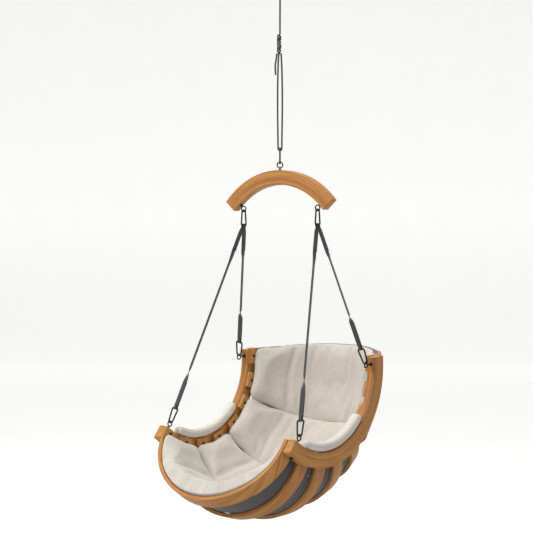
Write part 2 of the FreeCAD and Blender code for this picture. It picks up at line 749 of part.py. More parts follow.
node(compound("chair_eye_set", chair_eyes), "seat_eye_bolts")
node(compound("chair_nut_set", chair_nuts), "seat_eye_nuts")


def hoop_outline(inset, end_height):
    """Half a hoop's contour, mirrored: straight leg, side arc, crown arc, side arc and leg.

    Returns the segments from the right leg's end to the left leg's end, `inset` inside the hoop's
    outer surface, with the sketch's Y pointing up and the seat's axis at its origin.
    """
    side_r, crown_r = size("hoop_side_radius"), size("hoop_crown_radius")
    side_x, side_z = inner_face - side_r, -size("hoop_side_height")
    crown_z = side_z + math.sqrt((crown_r - side_r) ** 2 - side_x ** 2)
    split = math.degrees(math.atan2(side_z - crown_z, side_x))
    x = inner_face - inset
    return [
        ((x, -end_height), (x, side_z)),
        ((side_x, side_z), side_r - inset, 0, split),
        ((0, crown_z), crown_r - inset, split, -180 - split),
        ((-side_x, side_z), side_r - inset, -180 - split, -180),
        ((-x, side_z), (-x, -end_height)),
    ]


def reversed_path(segments):
    out = []
    for segment in reversed(segments):
        if len(segment) == 2:
            out.append((segment[1], segment[0]))
        else:
            out.append((segment[0], segment[1], segment[3], segment[2]))
    return out


def hoop(name, angle):
    """A bent-wood hoop: its U profile, padded to the slat's width, with a bolt hole in each leg."""
    body = new_body(name)
    sketch = sketch_on(body, "XZ_Plane", name + "_outline")
    outer = hoop_outline(0.0, size("hoop_end_height"))
    inner = hoop_outline(size("hoop_thickness"), size("hoop_end_height"))
    ends = [(outer[-1][1], inner[-1][1]), (inner[0][0], outer[0][0])]
    drawn = closed_profile(sketch, outer + ends[:1] + reversed_path(inner) + ends[1:])
    dimension(sketch, "Radius", (drawn[1],), "hoop_side_radius")
    dimension(sketch, "Radius", (drawn[2],), "hoop_crown_radius")
    dimension(sketch, "Radius", (drawn[8],), "hoop_crown_radius - hoop_thickness",
              size("hoop_crown_radius") - size("hoop_thickness"))
    slab = pad(body, sketch, "hoop_width")
    rounded(body, slab, "hoop_edge_round")
    hole_sketch = sketch_on(body, "YZ_Plane", name + "_hole")
    circle = hole_sketch.addGeometry(Part.Circle(V(0, -size("bolt_height"), 0), AXIS_Z, size("bolt_hole_radius")),
                                     False)
    dimension(hole_sketch, "Radius", (circle,), "bolt_hole_radius")
    pocket = body.newObject("PartDesign::Pocket", "BoltHoles")
    pocket.Profile = hole_sketch
    pocket.Midplane = True
    bind(pocket, "Length", "overall_width * 2")
    node(body, name, turned(angle, at=seat_axis))


for k, angle in enumerate(hoop_angles):
    hoop("hoop_%d" % (k + 1), angle)

bolts = []
leg_face = inner_face - size("hoop_thickness") - 0.6
for k, angle in enumerate(hoop_angles):
    radial = V(0, math.sin(math.radians(angle)), -math.cos(math.radians(angle)))
    for side in (-1, 1):
        place = frame(seat_axis + AXIS_X * (side * leg_face) + radial * size("bolt_height"), radial, AXIS_X * side)
        shank = part_object("Cylinder", "bolt_shank", Radius="bolt_shank_radius",
                            Height="hoop_thickness + bolt_reach")
        head = part_object("Cylinder", "bolt_head", Radius="bolt_head_radius", Height="bolt_head_thick")
        bind(head, "Placement.Base.z", "-bolt_head_thick")
        bolt = fuse("hoop_bolt", [shank, head])
        bolt.Placement = place
        bolts.append(bolt)
node(compound("hoop_bolt_set", bolts), "hoop_bolts")


def revolved(name, sketch, body, sweep, corner_round):
    turn = body.newObject("PartDesign::Revolution", "Revolution")
    turn.Profile = sketch
    turn.ReferenceAxis = (sketch, ["H_Axis"])
    bind(turn, "Angle", sweep)
    doc.recompute()
    sketch.Visibility = False
    if turn.Shape.BoundBox.YMin < -1.0:
        turn.Reversed = True
        doc.recompute()
    rounded(body, turn, corner_round)


def seat_cushion(name, thick, first_angle):
    """One section of the seat pad: a crescent inside the hoops, revolved about the seat's axis.

    Its back is dimpled where the heads of the hoops' bolts press into it.
    """
    body = new_body(name + "_pad")
    sketch = sketch_on(body, "XZ_Plane", name + "_profile")
    back = size("hoop_thickness") + size("cushion_gap")
    outer = hoop_outline(back, size("hoop_end_height"))[1:-1]
    tip_x, tip_z = inner_face - back, -size("hoop_side_height")
    brow_x = tip_x - size("cushion_tip_width")
    crown_z = outer[1][0][1] - outer[1][1] + thick
    sag = tip_z - crown_z
    top_r = (brow_x ** 2 + sag ** 2) / (2 * sag)
    lean = math.degrees(math.atan2(tip_z - crown_z - top_r, brow_x))
    inner = [((0, crown_z + top_r), top_r, -180 - lean, lean)]
    ends = [((-tip_x, tip_z), (-brow_x, tip_z)), ((brow_x, tip_z), (tip_x, tip_z))]
    drawn = closed_profile(sketch, outer + ends[:1] + inner + ends[1:])
    dimension(sketch, "Radius", (drawn[1],), "hoop_crown_radius - hoop_thickness - cushion_gap",
              size("hoop_crown_radius") - back)
    dimension(sketch, "Distance", (drawn[3],), "cushion_tip_width")
    revolved(name, sketch, body, "cushion_sweep", "cushion_round")
    body.Placement = turned(first_angle, at=seat_axis)
    dimples = []
    for angle in hoop_angles:
        if not first_angle < angle < first_angle + size("cushion_sweep"):
            continue
        radial = V(0, math.sin(math.radians(angle)), -math.cos(math.radians(angle)))
        for side in (-1, 1):
            start = seat_axis + AXIS_X * (side * (tip_x + 1)) + radial * size("bolt_height")
            dimples.append(drill(name + "_dimple", "cushion_dimple_radius", "cushion_dimple_depth",
                                 frame(start, radial, AXIS_X * -side)))
    node(cut(name + "_dimpled", body, dimples), name)


for k, place in enumerate(CUSHIONS):
    seat_cushion("cushion_" + place, size(place + "_pad_thick"), size("cushion_front_angle") + k * size("cushion_step"))


def arm_cushion(name, side):
    """A long pad on the inner curve of a side arc, flush with the arc's outer face."""
    body = new_body(name)
    sketch = sketch_on(body, "XZ_Plane", name + "_profile")
    low = -(size("arc_inner_radius") - 0.6)
    high = low + size("arm_cushion_thick")
    outer = size("overall_width") / 2 - 0.5
    inner = outer - size("arm_cushion_width")
    corners = [(side * x, z) for x, z in ((inner, low), (outer, low), (outer, high), (inner, high))]
    drawn = closed_profile(sketch, list(zip(corners, corners[1:] + corners[:1])))
    for index, kind in zip(drawn, ("Horizontal", "Vertical", "Horizontal", "Vertical")):
        sketch.addConstraint(Sketcher.Constraint(kind, index))
    dimension(sketch, "Distance", (drawn[0],), "arm_cushion_width")
    dimension(sketch, "Distance", (drawn[1],), "arm_cushion_thick")
    revolved(name, sketch, body, "arm_cushion_sweep", "arm_cushion_round")
    node(body, name, turned(size("arm_cushion_front_angle"), at=seat_axis))


for side, side_name in SIDE_NAMES.items():
    arm_cushion("arm_cushion_" + side_name, side)

# ---------------------------------------------------------------- check and write

doc.recompute()
for thing in doc.Objects:
    if "Invalid" in thing.State or "Error" in thing.State:
        raise RuntimeError("object failed: %s %s" % (thing.Name, thing.State))
for thing in nodes:
    if thing.Shape.isNull() or not thing.Shape.isValid():
        raise RuntimeError("bad shape: " + thing.Label)
if len({thing.Label for thing in nodes}) != len(nodes):
    raise RuntimeError("two nodes share a name")
os.makedirs("parts", exist_ok=True)
for thing in nodes:
    thing.Shape.exportStep("parts/%s.step" % thing.Label)
    print("%-28s solids %2d volume %10.0f" % (thing.Label, len(thing.Shape.Solids), thing.Shape.Volume))
print(len(nodes), "nodes")
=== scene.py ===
"""Looks for the hanging swing chair: cushions, straps, rope, materials, light and camera.

Metres, in the CAD frame: the origin is the centre of the ceiling plate's top face, +Z up, and the
seat faces -Y. A place on the seat is given by its angle about the seat's cross axis, from straight
down towards +Y, and by its distance from that axis, rho.
"""
import math

import bmesh
import bpy
import numpy as np
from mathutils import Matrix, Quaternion, Vector
from mathutils.bvhtree import BVHTree


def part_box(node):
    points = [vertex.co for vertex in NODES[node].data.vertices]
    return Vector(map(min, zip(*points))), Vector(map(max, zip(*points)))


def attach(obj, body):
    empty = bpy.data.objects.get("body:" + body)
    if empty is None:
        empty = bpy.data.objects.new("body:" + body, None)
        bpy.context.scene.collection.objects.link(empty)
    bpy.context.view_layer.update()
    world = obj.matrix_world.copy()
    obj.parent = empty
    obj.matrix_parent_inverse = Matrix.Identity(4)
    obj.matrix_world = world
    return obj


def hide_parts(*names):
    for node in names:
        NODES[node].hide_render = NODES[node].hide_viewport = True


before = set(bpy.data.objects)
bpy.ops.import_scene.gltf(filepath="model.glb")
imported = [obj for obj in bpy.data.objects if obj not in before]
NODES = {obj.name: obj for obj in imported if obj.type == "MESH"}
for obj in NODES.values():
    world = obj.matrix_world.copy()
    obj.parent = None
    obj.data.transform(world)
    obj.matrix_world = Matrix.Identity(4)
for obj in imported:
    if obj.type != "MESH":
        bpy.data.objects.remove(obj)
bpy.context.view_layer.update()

# ---------------------------------------------------------------- the seat's sizes, as in the CAD,
# placed by the boxes of its parts

ARC_OUTER = 0.4255
ARC_INNER = 0.357
BEAM_WIDTH = 0.0405
HOOP_THICK = 0.018
HOOP_SIDE_RADIUS = 0.300
HOOP_CROWN_RADIUS = 0.390
HOOP_SIDE_RHO = 0.3715
HOOP_ROUND_RHO = 0.335  # angles round a hoop are taken from here
HOOP_ROUND_REACH = 0.345
CUSHION_GAP = 0.0012
SECTION_MEET = math.radians(0.25) - 0.0003  # how far a cushion may pass its section, in radians

arc_low, arc_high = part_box("side_arc_right")
SEAT_Y = arc_high.y - ARC_OUTER
SEAT_Z = arc_low.z + ARC_OUTER
HALF_WIDTH = arc_high.x
INNER_FACE = HALF_WIDTH - BEAM_WIDTH
SIDE_X = INNER_FACE - HOOP_SIDE_RADIUS
CROWN_RHO = HOOP_SIDE_RHO - math.sqrt((HOOP_CROWN_RADIUS - HOOP_SIDE_RADIUS) ** 2 - SIDE_X ** 2)
SPLIT = math.atan2(HOOP_SIDE_RHO - CROWN_RHO, SIDE_X)

_, spreader_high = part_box("spreader_bar")
SPREADER_OUTER = 0.418
SPREADER_Z = spreader_high.z - SPREADER_OUTER


def seat_point(x, rho, angle):
    """The place at x across the seat, rho from its axis and `angle` radians round it."""
    return Vector((x, SEAT_Y + rho * math.sin(angle), SEAT_Z - rho * math.cos(angle)))


# ---------------------------------------------------------------- camera, light and stage

CAMERA_AT = Vector((4.394, -5.453, -1.302))
CAMERA_TURN = math.radians(39.37)
CAMERA_DOWN = math.radians(1.157)
CAMERA_LENS = 102.2
WORLD_FADE = (-0.25, 0.45)
WORLD_LOW = 0.30
WORLD_TOP = 0.46
FLOOR_Z = -3.05
FLOOR_REACH = 18.0
# distances over which the floor's painted shade near the chair gives way to its pale far colour
FLOOR_SHADE_FADE = (0.2, 2.2)
GLOW_FADE = (0.6, 2.6)
GLOW_TOP = 0.42
WALL = 13.0
WALL_BEND = 2.0
WALL_TOP = 12.0


def make_camera():
    data = bpy.data.cameras.new("camera")
    data.lens = CAMERA_LENS
    data.sensor_width = 36.0
    camera = bpy.data.objects.new("camera", data)
    bpy.context.scene.collection.objects.link(camera)
    camera.location = CAMERA_AT
    camera.rotation_euler = (math.pi / 2 - CAMERA_DOWN, 0.0, CAMERA_TURN)
    bpy.context.scene.camera = camera


def area_light(name, at, aim, size, watts, colour):
    data = bpy.data.lights.new(name, "AREA")
    data.shape = "RECTANGLE"
    data.size = size
    data.size_y = size
    data.energy = watts
    data.color = colour
    light = bpy.data.objects.new(name, data)
    bpy.context.scene.collection.objects.link(light)
    light.location = at
    light.rotation_euler = (Vector(aim) - Vector(at)).to_track_quat("-Z", "Y").to_euler()


def make_world():
    world = bpy.data.worlds.new("studio")
    world.use_nodes = True
    tree = world.node_tree
    background = tree.nodes["Background"]
    split = tree.nodes.new("ShaderNodeSeparateXYZ")
    tree.links.new(tree.nodes.new("ShaderNodeTexCoord").outputs["Generated"], split.inputs[0])
    ramp = tree.nodes.new("ShaderNodeMapRange")
    ramp.inputs["From Min"].default_value = WORLD_FADE[0]
    ramp.inputs["From Max"].default_value = WORLD_FADE[1]
    ramp.inputs["To Min"].default_value = WORLD_LOW
    ramp.inputs["To Max"].default_value = WORLD_TOP
    tree.links.new(split.outputs["Z"], ramp.inputs["Value"])
    tree.links.new(ramp.outputs["Result"], background.inputs["Strength"])
    background.inputs["Color"].default_value = (1.0, 0.995, 0.985, 1.0)
    bpy.context.scene.world = world
    bpy.context.scene.view_settings.view_transform = "Standard"


def make_stage():
    """A pale sweep: a floor that curves up behind the chair on the camera's far side."""
    back = Vector((-math.sin(CAMERA_TURN), math.cos(CAMERA_TURN), 0))
    side = Vector((math.cos(CAMERA_TURN), math.sin(CAMERA_TURN), 0))
    profile = [(-FLOOR_REACH, 0.0), (GLOW_FADE[0], 0.0), (GLOW_FADE[1], 0.0), (WALL, 0.0)]
    steps = 16
    for k in range(1, steps + 1):
        a = math.pi / 2 * k / steps
        profile.append((WALL + WALL_BEND * math.sin(a), WALL_BEND * (1 - math.cos(a))))
    profile.append((WALL + WALL_BEND, WALL_TOP))
    verts = [side * s + back * d + Vector((0, 0, FLOOR_Z + h))
             for s in (-FLOOR_REACH, FLOOR_REACH) for d, h in profile]
    count = len(profile)
    faces = [(k, k + 1, count + k + 1, count + k) for k in range(count - 1)]
    mesh = bpy.data.meshes.new("sweep")
    mesh.from_pydata(verts, [], faces)
    for face in mesh.polygons:
        face.use_smooth = True
    sweep = bpy.data.objects.new("sweep", mesh)
    bpy.context.scene.collection.objects.link(sweep)
    g = Graph("pale_floor")
    x, y, _ = g.place()
    far = g.plus(g.times(x, back.x), g.times(y, back.y))
    wear = g.noise(g.add("TexCoord").outputs["Object"], 3.0, 3.0, 0.5)
    pale = g.ramp(wear, [(0.3, (0.80, 0.80, 0.795)), (0.7, (0.82, 0.82, 0.815))])
    # painted shade: near the chair the floor is coloured darker, and below it gets no glow, so less light
    # bounces up under the chair; further off it turns pale and glows
    near = g.ramp(wear, [(0.3, (0.60, 0.60, 0.595)), (0.7, (0.62, 0.62, 0.615))])
    g.set("Base Color", g.mix(g.between(far, *FLOOR_SHADE_FADE), near, pale))
    g.set("Roughness", 0.9)
    g.set("Emission Color", (1, 1, 0.995, 1))
    g.set("Emission Strength", g.between(far, *GLOW_FADE, 0.0, GLOW_TOP))
    mesh.materials.append(g.material)


# ---------------------------------------------------------------- node helpers


class Graph:
    """A material's node tree with short ways to add nodes and sums."""

    def __init__(self, name):
        self.material = bpy.data.materials.new(name)
        self.material.use_nodes = True
        self.tree = self.material.node_tree
        self.shader = self.tree.nodes["Principled BSDF"]

    def add(self, kind, inputs=(), **settings):
        made = self.tree.nodes.new("ShaderNode" + kind)
        for key, value in settings.items():
            setattr(made, key, value)
        for key, value in dict(inputs).items():
            self.feed(made.inputs[key], value)
        return made

    def feed(self, socket, value):
        if isinstance(value, bpy.types.NodeSocket):
            self.tree.links.new(value, socket)
        else:
            socket.default_value = value

    def set(self, name, value):
        self.feed(self.shader.inputs[name], value)

    def sum(self, operation, *values):
        return self.add("Math", dict(enumerate(values)), operation=operation).outputs[0]

    def times(self, a, b):
        return self.sum("MULTIPLY", a, b)

    def plus(self, a, b):
        return self.sum("ADD", a, b)

    def minus(self, a, b):
        return self.sum("SUBTRACT", a, b)

    def between(self, value, low, high, start=0.0, stop=1.0):
        """Maps low..high to start..stop smoothly."""
        made = self.add("MapRange", {"Value": value, "From Min": low, "From Max": high,
                                     "To Min": start, "To Max": stop}, interpolation_type="SMOOTHSTEP")
        return made.outputs["Result"]

    def vector(self, x, y, z):
        return self.add("CombineXYZ", {"X": x, "Y": y, "Z": z}).outputs[0]

    def noise(self, vector, scale, detail=2.0, roughness=0.5, distortion=0.0):
        made = self.add("TexNoise", {"Vector": vector, "Scale": scale, "Detail": detail,
                                     "Roughness": roughness, "Distortion": distortion})
        return made.outputs["Fac"]

    def stretched(self, places, scales, detail, roughness, distortion=0.0):
        """Noise with its own scale, per metre, along each of the three places."""
        scaled = [self.times(place, scale) for place, scale in zip(places, scales)]
        return self.noise(self.vector(*scaled), 1.0, detail, roughness, distortion)

    def ramp(self, value, stops):
        made = self.add("ValToRGB", {"Fac": value})
        elements = made.color_ramp.elements
        while len(elements) < len(stops):
            elements.new(0.5)
        for element, (place, colour) in zip(elements, stops):
            element.position = place
            element.color = (*colour, 1.0)
        return made.outputs["Color"]

    def mix(self, factor, a, b, mode="MIX"):
        made = self.add("Mix", data_type="RGBA", blend_type=mode)
        made.clamp_factor = True
        self.feed(made.inputs[0], factor)
        for socket, value in ((made.inputs[6], a), (made.inputs[7], b)):
            self.feed(socket, (*value, 1.0) if isinstance(value, tuple) and len(value) == 3 else value)
        return made.outputs[2]

    def bump(self, height, strength, distance, normal=None):
        made = self.add("Bump", {"Height": height, "Strength": strength, "Distance": distance})
        if normal is not None:
            self.feed(made.inputs["Normal"], normal)
        return made.outputs["Normal"]

    def place(self):
        """The object's own coordinates, split: they are the row frame's, in metres."""
        coordinates = self.add("TexCoord").outputs["Object"]
        split = self.add("SeparateXYZ", {"Vector": coordinates})
        return split.outputs["X"], split.outputs["Y"], split.outputs["Z"]


def linear(r, g, b):
    """A colour given as 0-255 sRGB, in the linear values that sockets take."""
    return tuple(((c / 255 + 0.055) / 1.055) ** 2.4 if c > 10 else c / 255 / 12.92 for c in (r, g, b))


# ---------------------------------------------------------------- coordinates bent with the wood


def length2(graph, a, b):
    return graph.sum("SQRT", graph.plus(graph.times(a, a), graph.times(b, b)))


def seat_polar(graph):
    """(x, rho, angle) about the seat's axis."""
    x, y, z = graph.place()
    y = graph.minus(y, SEAT_Y)
    z = graph.minus(SEAT_Z, z)
    return x, length2(graph, y, z), graph.sum("ARCTAN2", y, z)


def beam_grain(graph):
    """Along, across and into a side arc: the grain follows the curve and the plies stack radially."""
    x, rho, angle = seat_polar(graph)
    along = graph.times(angle, (ARC_INNER + ARC_OUTER) / 2)
    return along, x, graph.minus(ARC_OUTER, rho)


def spreader_grain(graph):
    x, y, z = graph.place()
    up = graph.minus(z, SPREADER_Z)
    reach = length2(graph, x, up)
    along = graph.times(graph.sum("ARCTAN2", x, up), SPREADER_OUTER)
    return along, y, graph.minus(SPREADER_OUTER, reach)


def hoop_grain(graph):
    """Along, across and into a hoop, from its straight legs, side curves and crown."""
    x, rho, angle = seat_polar(graph)
    wide = graph.sum("ABSOLUTE", x)
    leg_depth = graph.minus(INNER_FACE, wide)
    side = length2(graph, graph.minus(wide, SIDE_X), graph.minus(rho, HOOP_SIDE_RHO))
    side_depth = graph.minus(HOOP_SIDE_RADIUS, side)
    crown_rho = graph.minus(rho, CROWN_RHO)
    crown_depth = graph.minus(HOOP_CROWN_RADIUS, length2(graph, x, crown_rho))
    past_leg = graph.sum("GREATER_THAN", rho, HOOP_SIDE_RHO)
    slope = 1.0 / math.tan(SPLIT)
    in_crown = graph.sum("LESS_THAN", wide, graph.times(crown_rho, slope))

    def choose(test, yes, no):
        return graph.plus(graph.times(test, yes), graph.times(graph.minus(1.0, test), no))

    depth = choose(in_crown, crown_depth, choose(past_leg, side_depth, leg_depth))
    turn = graph.sum("ARCTAN2", x, graph.minus(rho, HOOP_ROUND_RHO))
    return graph.times(turn, HOOP_ROUND_REACH), graph.times(angle, rho), depth


# ---------------------------------------------------------------- materials

HONEY_DARK = linear(112, 68, 22)
HONEY_MID = linear(180, 119, 52)
HONEY_LIGHT = linear(208, 156, 80)
GLUE = linear(92, 50, 20)
PORE = linear(84, 46, 20)
CLOTH_ROUND_SEAT = 0.52  # metres of cloth for each radian round the seat's axis
CLOTH_ROUND_HOOP = 0.33
SLUB_LONG, SLUB_FINE = 22.0, 700.0
RIB_PITCH = 0.0021
PICK_PITCH = 0.0019
PICK_STAGGER = 1.57
BRAID_PITCH = 0.007
BRAID_AROUND = 520.0


def wood(name, grain, ply, seed):
    """Oiled laminated wood: growth bands, fibres, pores and glue lines that follow the bend."""
    g = Graph(name)
    along, across, depth = grain(g)
    plies_in = g.sum("DIVIDE", g.plus(depth, ply / 2), ply)
    layer = g.plus(g.sum("FLOOR", plies_in), seed)
    layer_tone = g.add("TexWhiteNoise", {"W": layer}, noise_dimensions="1D").outputs["Value"]
    shifted = g.plus(along, g.times(layer_tone, 3.7))
    broad = g.stretched((shifted, across, depth), (3.0, 34.0, 30.0), 3.0, 0.55, 0.7)
    streak = g.stretched((shifted, across, depth), (9.0, 210.0, 210.0), 4.0, 0.6, 0.3)
    fibre = g.stretched((along, across, depth), (60.0, 1300.0, 1300.0), 2.0, 0.5)
    pores = g.stretched((along, across, depth), (110.0, 1700.0, 1700.0), 1.0, 0.5)
    pore_mask = g.between(pores, 0.66, 0.74)
    tone = g.plus(g.times(broad, 0.50), g.times(streak, 0.34))
    tone = g.plus(tone, g.times(fibre, 0.16))
    tone = g.plus(tone, g.times(g.minus(layer_tone, 0.5), 0.13))
    colour = g.ramp(tone, [(0.30, HONEY_DARK), (0.50, HONEY_MID), (0.70, HONEY_LIGHT)])
    # a glue line sits between two plies, half a ply in from the faces
    from_middle = g.sum("ABSOLUTE", g.minus(g.sum("FRACT", plies_in), 0.5))
    line = g.between(g.times(from_middle, 2.0), 0.86, 0.99)
    colour = g.mix(g.times(line, 0.42), colour, GLUE)
    colour = g.mix(g.times(pore_mask, 0.35), colour, PORE)
    g.set("Base Color", colour)
    g.set("Roughness", g.plus(0.40, g.times(streak, 0.22)))
    raised = g.plus(g.times(streak, 0.5), g.times(fibre, 0.35))
    sunk = g.plus(g.times(pore_mask, 0.5), g.times(line, 0.35))
    g.set("Normal", g.bump(g.minus(raised, sunk), 0.30, 0.0006))
    g.set("Coat Weight", 0.12)
    g.set("Coat Roughness", 0.32)
    return g.material


def cloth(name, light_tone, dark_tone, thread_width=0.0011):
    """Plain-woven upholstery. The threads run round the seat's axis and along the hoops."""
    g = Graph(name)
    x, rho, angle = seat_polar(g)
    warp = g.times(angle, CLOTH_ROUND_SEAT)
    weft = g.times(g.sum("ARCTAN2", x, g.minus(rho, HOOP_ROUND_RHO)), CLOTH_ROUND_HOOP)
    turn = 2 * math.pi / (2 * thread_width)
    weave = g.times(g.sum("SINE", g.times(warp, turn)), g.sum("SINE", g.times(weft, turn)))
    over = g.plus(g.times(weave, 0.5), 0.5)
    warp_slub = g.stretched((warp, weft, 0.0), (SLUB_LONG, SLUB_FINE, 1.0), 2.0, 0.6)
    weft_slub = g.stretched((warp, weft, 5.0), (SLUB_FINE, SLUB_LONG, 1.0), 2.0, 0.6)
    slub = g.times(g.plus(warp_slub, weft_slub), 0.5)
    cloud = g.noise(g.add("TexCoord").outputs["Object"], 5.0, 3.0, 0.55)
    tone = g.plus(g.times(slub, 0.62), g.times(over, 0.14))
    tone = g.plus(tone, g.times(cloud, 0.24))
    g.set("Base Color", g.ramp(tone, [(0.32, dark_tone), (0.66, light_tone)]))
    g.set("Roughness", g.between(slub, 0.3, 0.7, 0.82, 0.95))
    g.set("Sheen Weight", 0.25)
    g.set("Sheen Roughness", 0.5)
    fine = g.bump(g.plus(over, g.times(slub, 1.2)), 0.35, 0.0005)
    g.set("Normal", g.bump(cloud, 0.25, 0.004, fine))
    return g.material


def webbing(name):
    """Ribbed polyester webbing, on the strap's own UV map: u across it, v along it, both in metres."""
    g = Graph(name)
    uv = g.add("SeparateXYZ", {"Vector": g.add("UVMap", uv_map="metres").outputs["UV"]})
    u, v = uv.outputs["X"], uv.outputs["Y"]
    rib = g.sum("SINE", g.times(u, 2 * math.pi / RIB_PITCH))
    stagger = g.times(g.sum("SIGN", rib), PICK_STAGGER)
    pick = g.sum("SINE", g.plus(g.times(v, 2 * math.pi / PICK_PITCH), stagger))
    weave = g.plus(g.times(g.sum("ABSOLUTE", rib), 0.6), g.times(g.times(pick, 0.5), 0.4))
    dust = g.stretched((u, v, 0.0), (90.0, 18.0, 1.0), 4.0, 0.6)
    tone = g.plus(g.times(weave, 0.55), g.times(dust, 0.45))
    colour = g.ramp(tone, [(0.15, linear(26, 25, 29)), (0.75, linear(62, 61, 68))])
    g.set("Base Color", colour)
    g.set("Roughness", g.between(dust, 0.3, 0.7, 0.6, 0.8))
    g.set("Sheen Weight", 0.3)
    g.set("Normal", g.bump(weave, 0.6, 0.0006))
    return g.material


def thread(name, tone):
    g = Graph(name)
    place = g.add("TexCoord").outputs["Object"]
    fuzz = g.noise(place, 900.0, 2.0, 0.6)
    dark = tuple(c * 0.55 for c in tone)
    g.set("Base Color", g.ramp(fuzz, [(0.35, dark), (0.65, tone)]))
    g.set("Roughness", g.between(fuzz, 0.3, 0.7, 0.7, 0.9))
    g.set("Normal", g.bump(fuzz, 0.5, 0.0004))
    return g.material


def coated_metal(name, tone, worn, metallic, rough):
    """Black-coated steel: fine orange peel, small scuffs that show a lighter metal."""
    g = Graph(name)
    place = g.add("TexCoord").outputs["Object"]
    peel = g.noise(place, 420.0, 2.0, 0.5)
    cloud = g.noise(place, 45.0, 4.0, 0.65)
    scuffs = g.between(g.noise(place, 260.0, 5.0, 0.72), 0.60, 0.72)
    scuffs = g.times(scuffs, g.between(cloud, 0.48, 0.62))
    base = g.ramp(cloud, [(0.3, tuple(c * 0.75 for c in tone)), (0.7, tuple(c * 1.3 for c in tone))])
    g.set("Base Color", g.mix(g.times(scuffs, 0.6), base, worn))
    g.set("Roughness", g.plus(rough, g.times(cloud, 0.18)))
    g.set("Metallic", metallic)
    g.set("Normal", g.bump(peel, 0.18, 0.0003))
    return g.material


def cord_material(name):
    """Braided cord running down: two sets of strands cross round it, with fibres over them."""
    g = Graph(name)
    x, y, z = g.place()
    around = g.plus(g.times(x, BRAID_AROUND), g.times(y, BRAID_AROUND))
    down = g.times(z, 2 * math.pi / BRAID_PITCH)
    braid = g.times(g.sum("SINE", g.plus(down, around)), g.sum("SINE", g.minus(down, around)))
    return rope_surface(g, braid)


def knot_rope(name):
    """The rope in its knots, whose braid is in the mesh."""
    return rope_surface(Graph(name), 0.0)


def rope_surface(g, braid):
    """Dark, slightly furry rope; `braid` raises its strands."""
    place = g.add("TexCoord").outputs["Object"]
    fibres = g.plus(g.noise(place, 700.0, 3.0, 0.6), g.times(braid, 0.25))
    cloud = g.noise(place, 60.0, 3.0, 0.6)
    tone = g.plus(g.times(fibres, 0.6), g.times(cloud, 0.4))
    colour = g.ramp(tone, [(0.3, linear(24, 24, 26)), (0.7, linear(66, 65, 69))])
    g.set("Base Color", colour)
    g.set("Roughness", g.between(cloud, 0.3, 0.7, 0.62, 0.82))
    g.set("Sheen Weight", 0.25)
    g.set("Normal", g.bump(fibres, 0.5, 0.0004))
    return g.material


# ---------------------------------------------------------------- mesh helpers


def square_to(direction, along):
    return (direction - along * direction.dot(along)).normalized()


def make_object(name, verts, faces, material, smooth=True):
    mesh = bpy.data.meshes.new(name)
    mesh.from_pydata([tuple(v) for v in verts], [], faces)
    mesh.polygons.foreach_set("use_smooth", [smooth] * len(mesh.polygons))
    mesh.update()
    made = bpy.data.objects.new(name, mesh)
    bpy.context.scene.collection.objects.link(made)
    if material is not None:
        mesh.materials.append(material)
    return made


def loops_to_mesh(loops):
    """Quads between closed loops of equal length, with a fan at both ends."""
    count = len(loops[0])
    verts = [p for loop in loops for p in loop]
    faces = []
    for i in range(len(loops) - 1):
        for j in range(count):
            k = (j + 1) % count
            faces.append((i * count + j, i * count + k, (i + 1) * count + k, (i + 1) * count + j))
    for first, flip in ((0, True), ((len(loops) - 1) * count, False)):
        centre = sum((Vector(v) for v in verts[first:first + count]), Vector()) / count
        verts.append(centre)
        middle = len(verts) - 1
        for j in range(count):
            k = (j + 1) % count
            faces.append((middle, first + k, first + j) if flip else (middle, first + j, first + k))
    return verts, faces


def fix_normals(obj):
    mesh = bmesh.new()
    mesh.from_mesh(obj.data)
    bmesh.ops.recalc_face_normals(mesh, faces=mesh.faces)
    mesh.to_mesh(obj.data)
    mesh.free()


def apply_modifiers(obj):
    """Replaces the object's mesh with what its modifiers make of it."""
    graph = bpy.context.evaluated_depsgraph_get()
    baked = bpy.data.meshes.new_from_object(obj.evaluated_get(graph), depsgraph=graph)
    old = obj.data
    obj.modifiers.clear()
    obj.data = baked
    bpy.data.meshes.remove(old)


def get_points(mesh):
    points = np.empty(len(mesh.vertices) * 3)
    mesh.vertices.foreach_get("co", points)
    return points.reshape(-1, 3)


def set_points(mesh, points):
    mesh.vertices.foreach_set("co", np.ascontiguousarray(points).ravel())
    mesh.update()


# ---------------------------------------------------------------- cushions

SECTION = math.radians(33.1)
FIRST = math.radians(-38.0)
SWEEP = math.radians(32.6)
SPREAD = 1.045  # a filled cushion is widened this much, so that its sides are flat where they are cut off
END_TRIM = 0.004  # the share of the hoops' U left free at each end
EVEN, CROWDED = 0.65, 0.35  # cross-sections are partly even, partly crowded towards the ends
SEAT_NOSE, ARM_NOSE = 0.028, 0.022
SIDE_EASE = 0.004
FULLNESS = 1.3
TIP_THICK = 0.034
BACK_OVERHANG = math.radians(1.4)
SEAT_VOXEL, SEAT_CAP, SEAT_FRAMES = 0.0075, 0.018, 14
ARM_VOXEL, ARM_CAP, ARM_FRAMES = 0.0045, 0.007, 12
UNDER_DEPTH = 0.022
LIP = math.radians(1.6)
WING_RHO = 0.47
NEVER, AT_WING, ELSEWHERE = -1.1, -0.6, 0.35  # how far a face may turn inwards and still be underside
ARM_FIRST, ARM_LAST = math.radians(-24.5), math.radians(50.0)
ARM_OUTER_RHO = ARC_INNER - CUSHION_GAP
ARM_MIDDLE = HALF_WIDTH - 0.0275
ARM_HALF_WIDTH, ARM_THICK = 0.0255, 0.042
ARM_OVERHANG = 0.016
SEAM_RADIUS = 0.0011


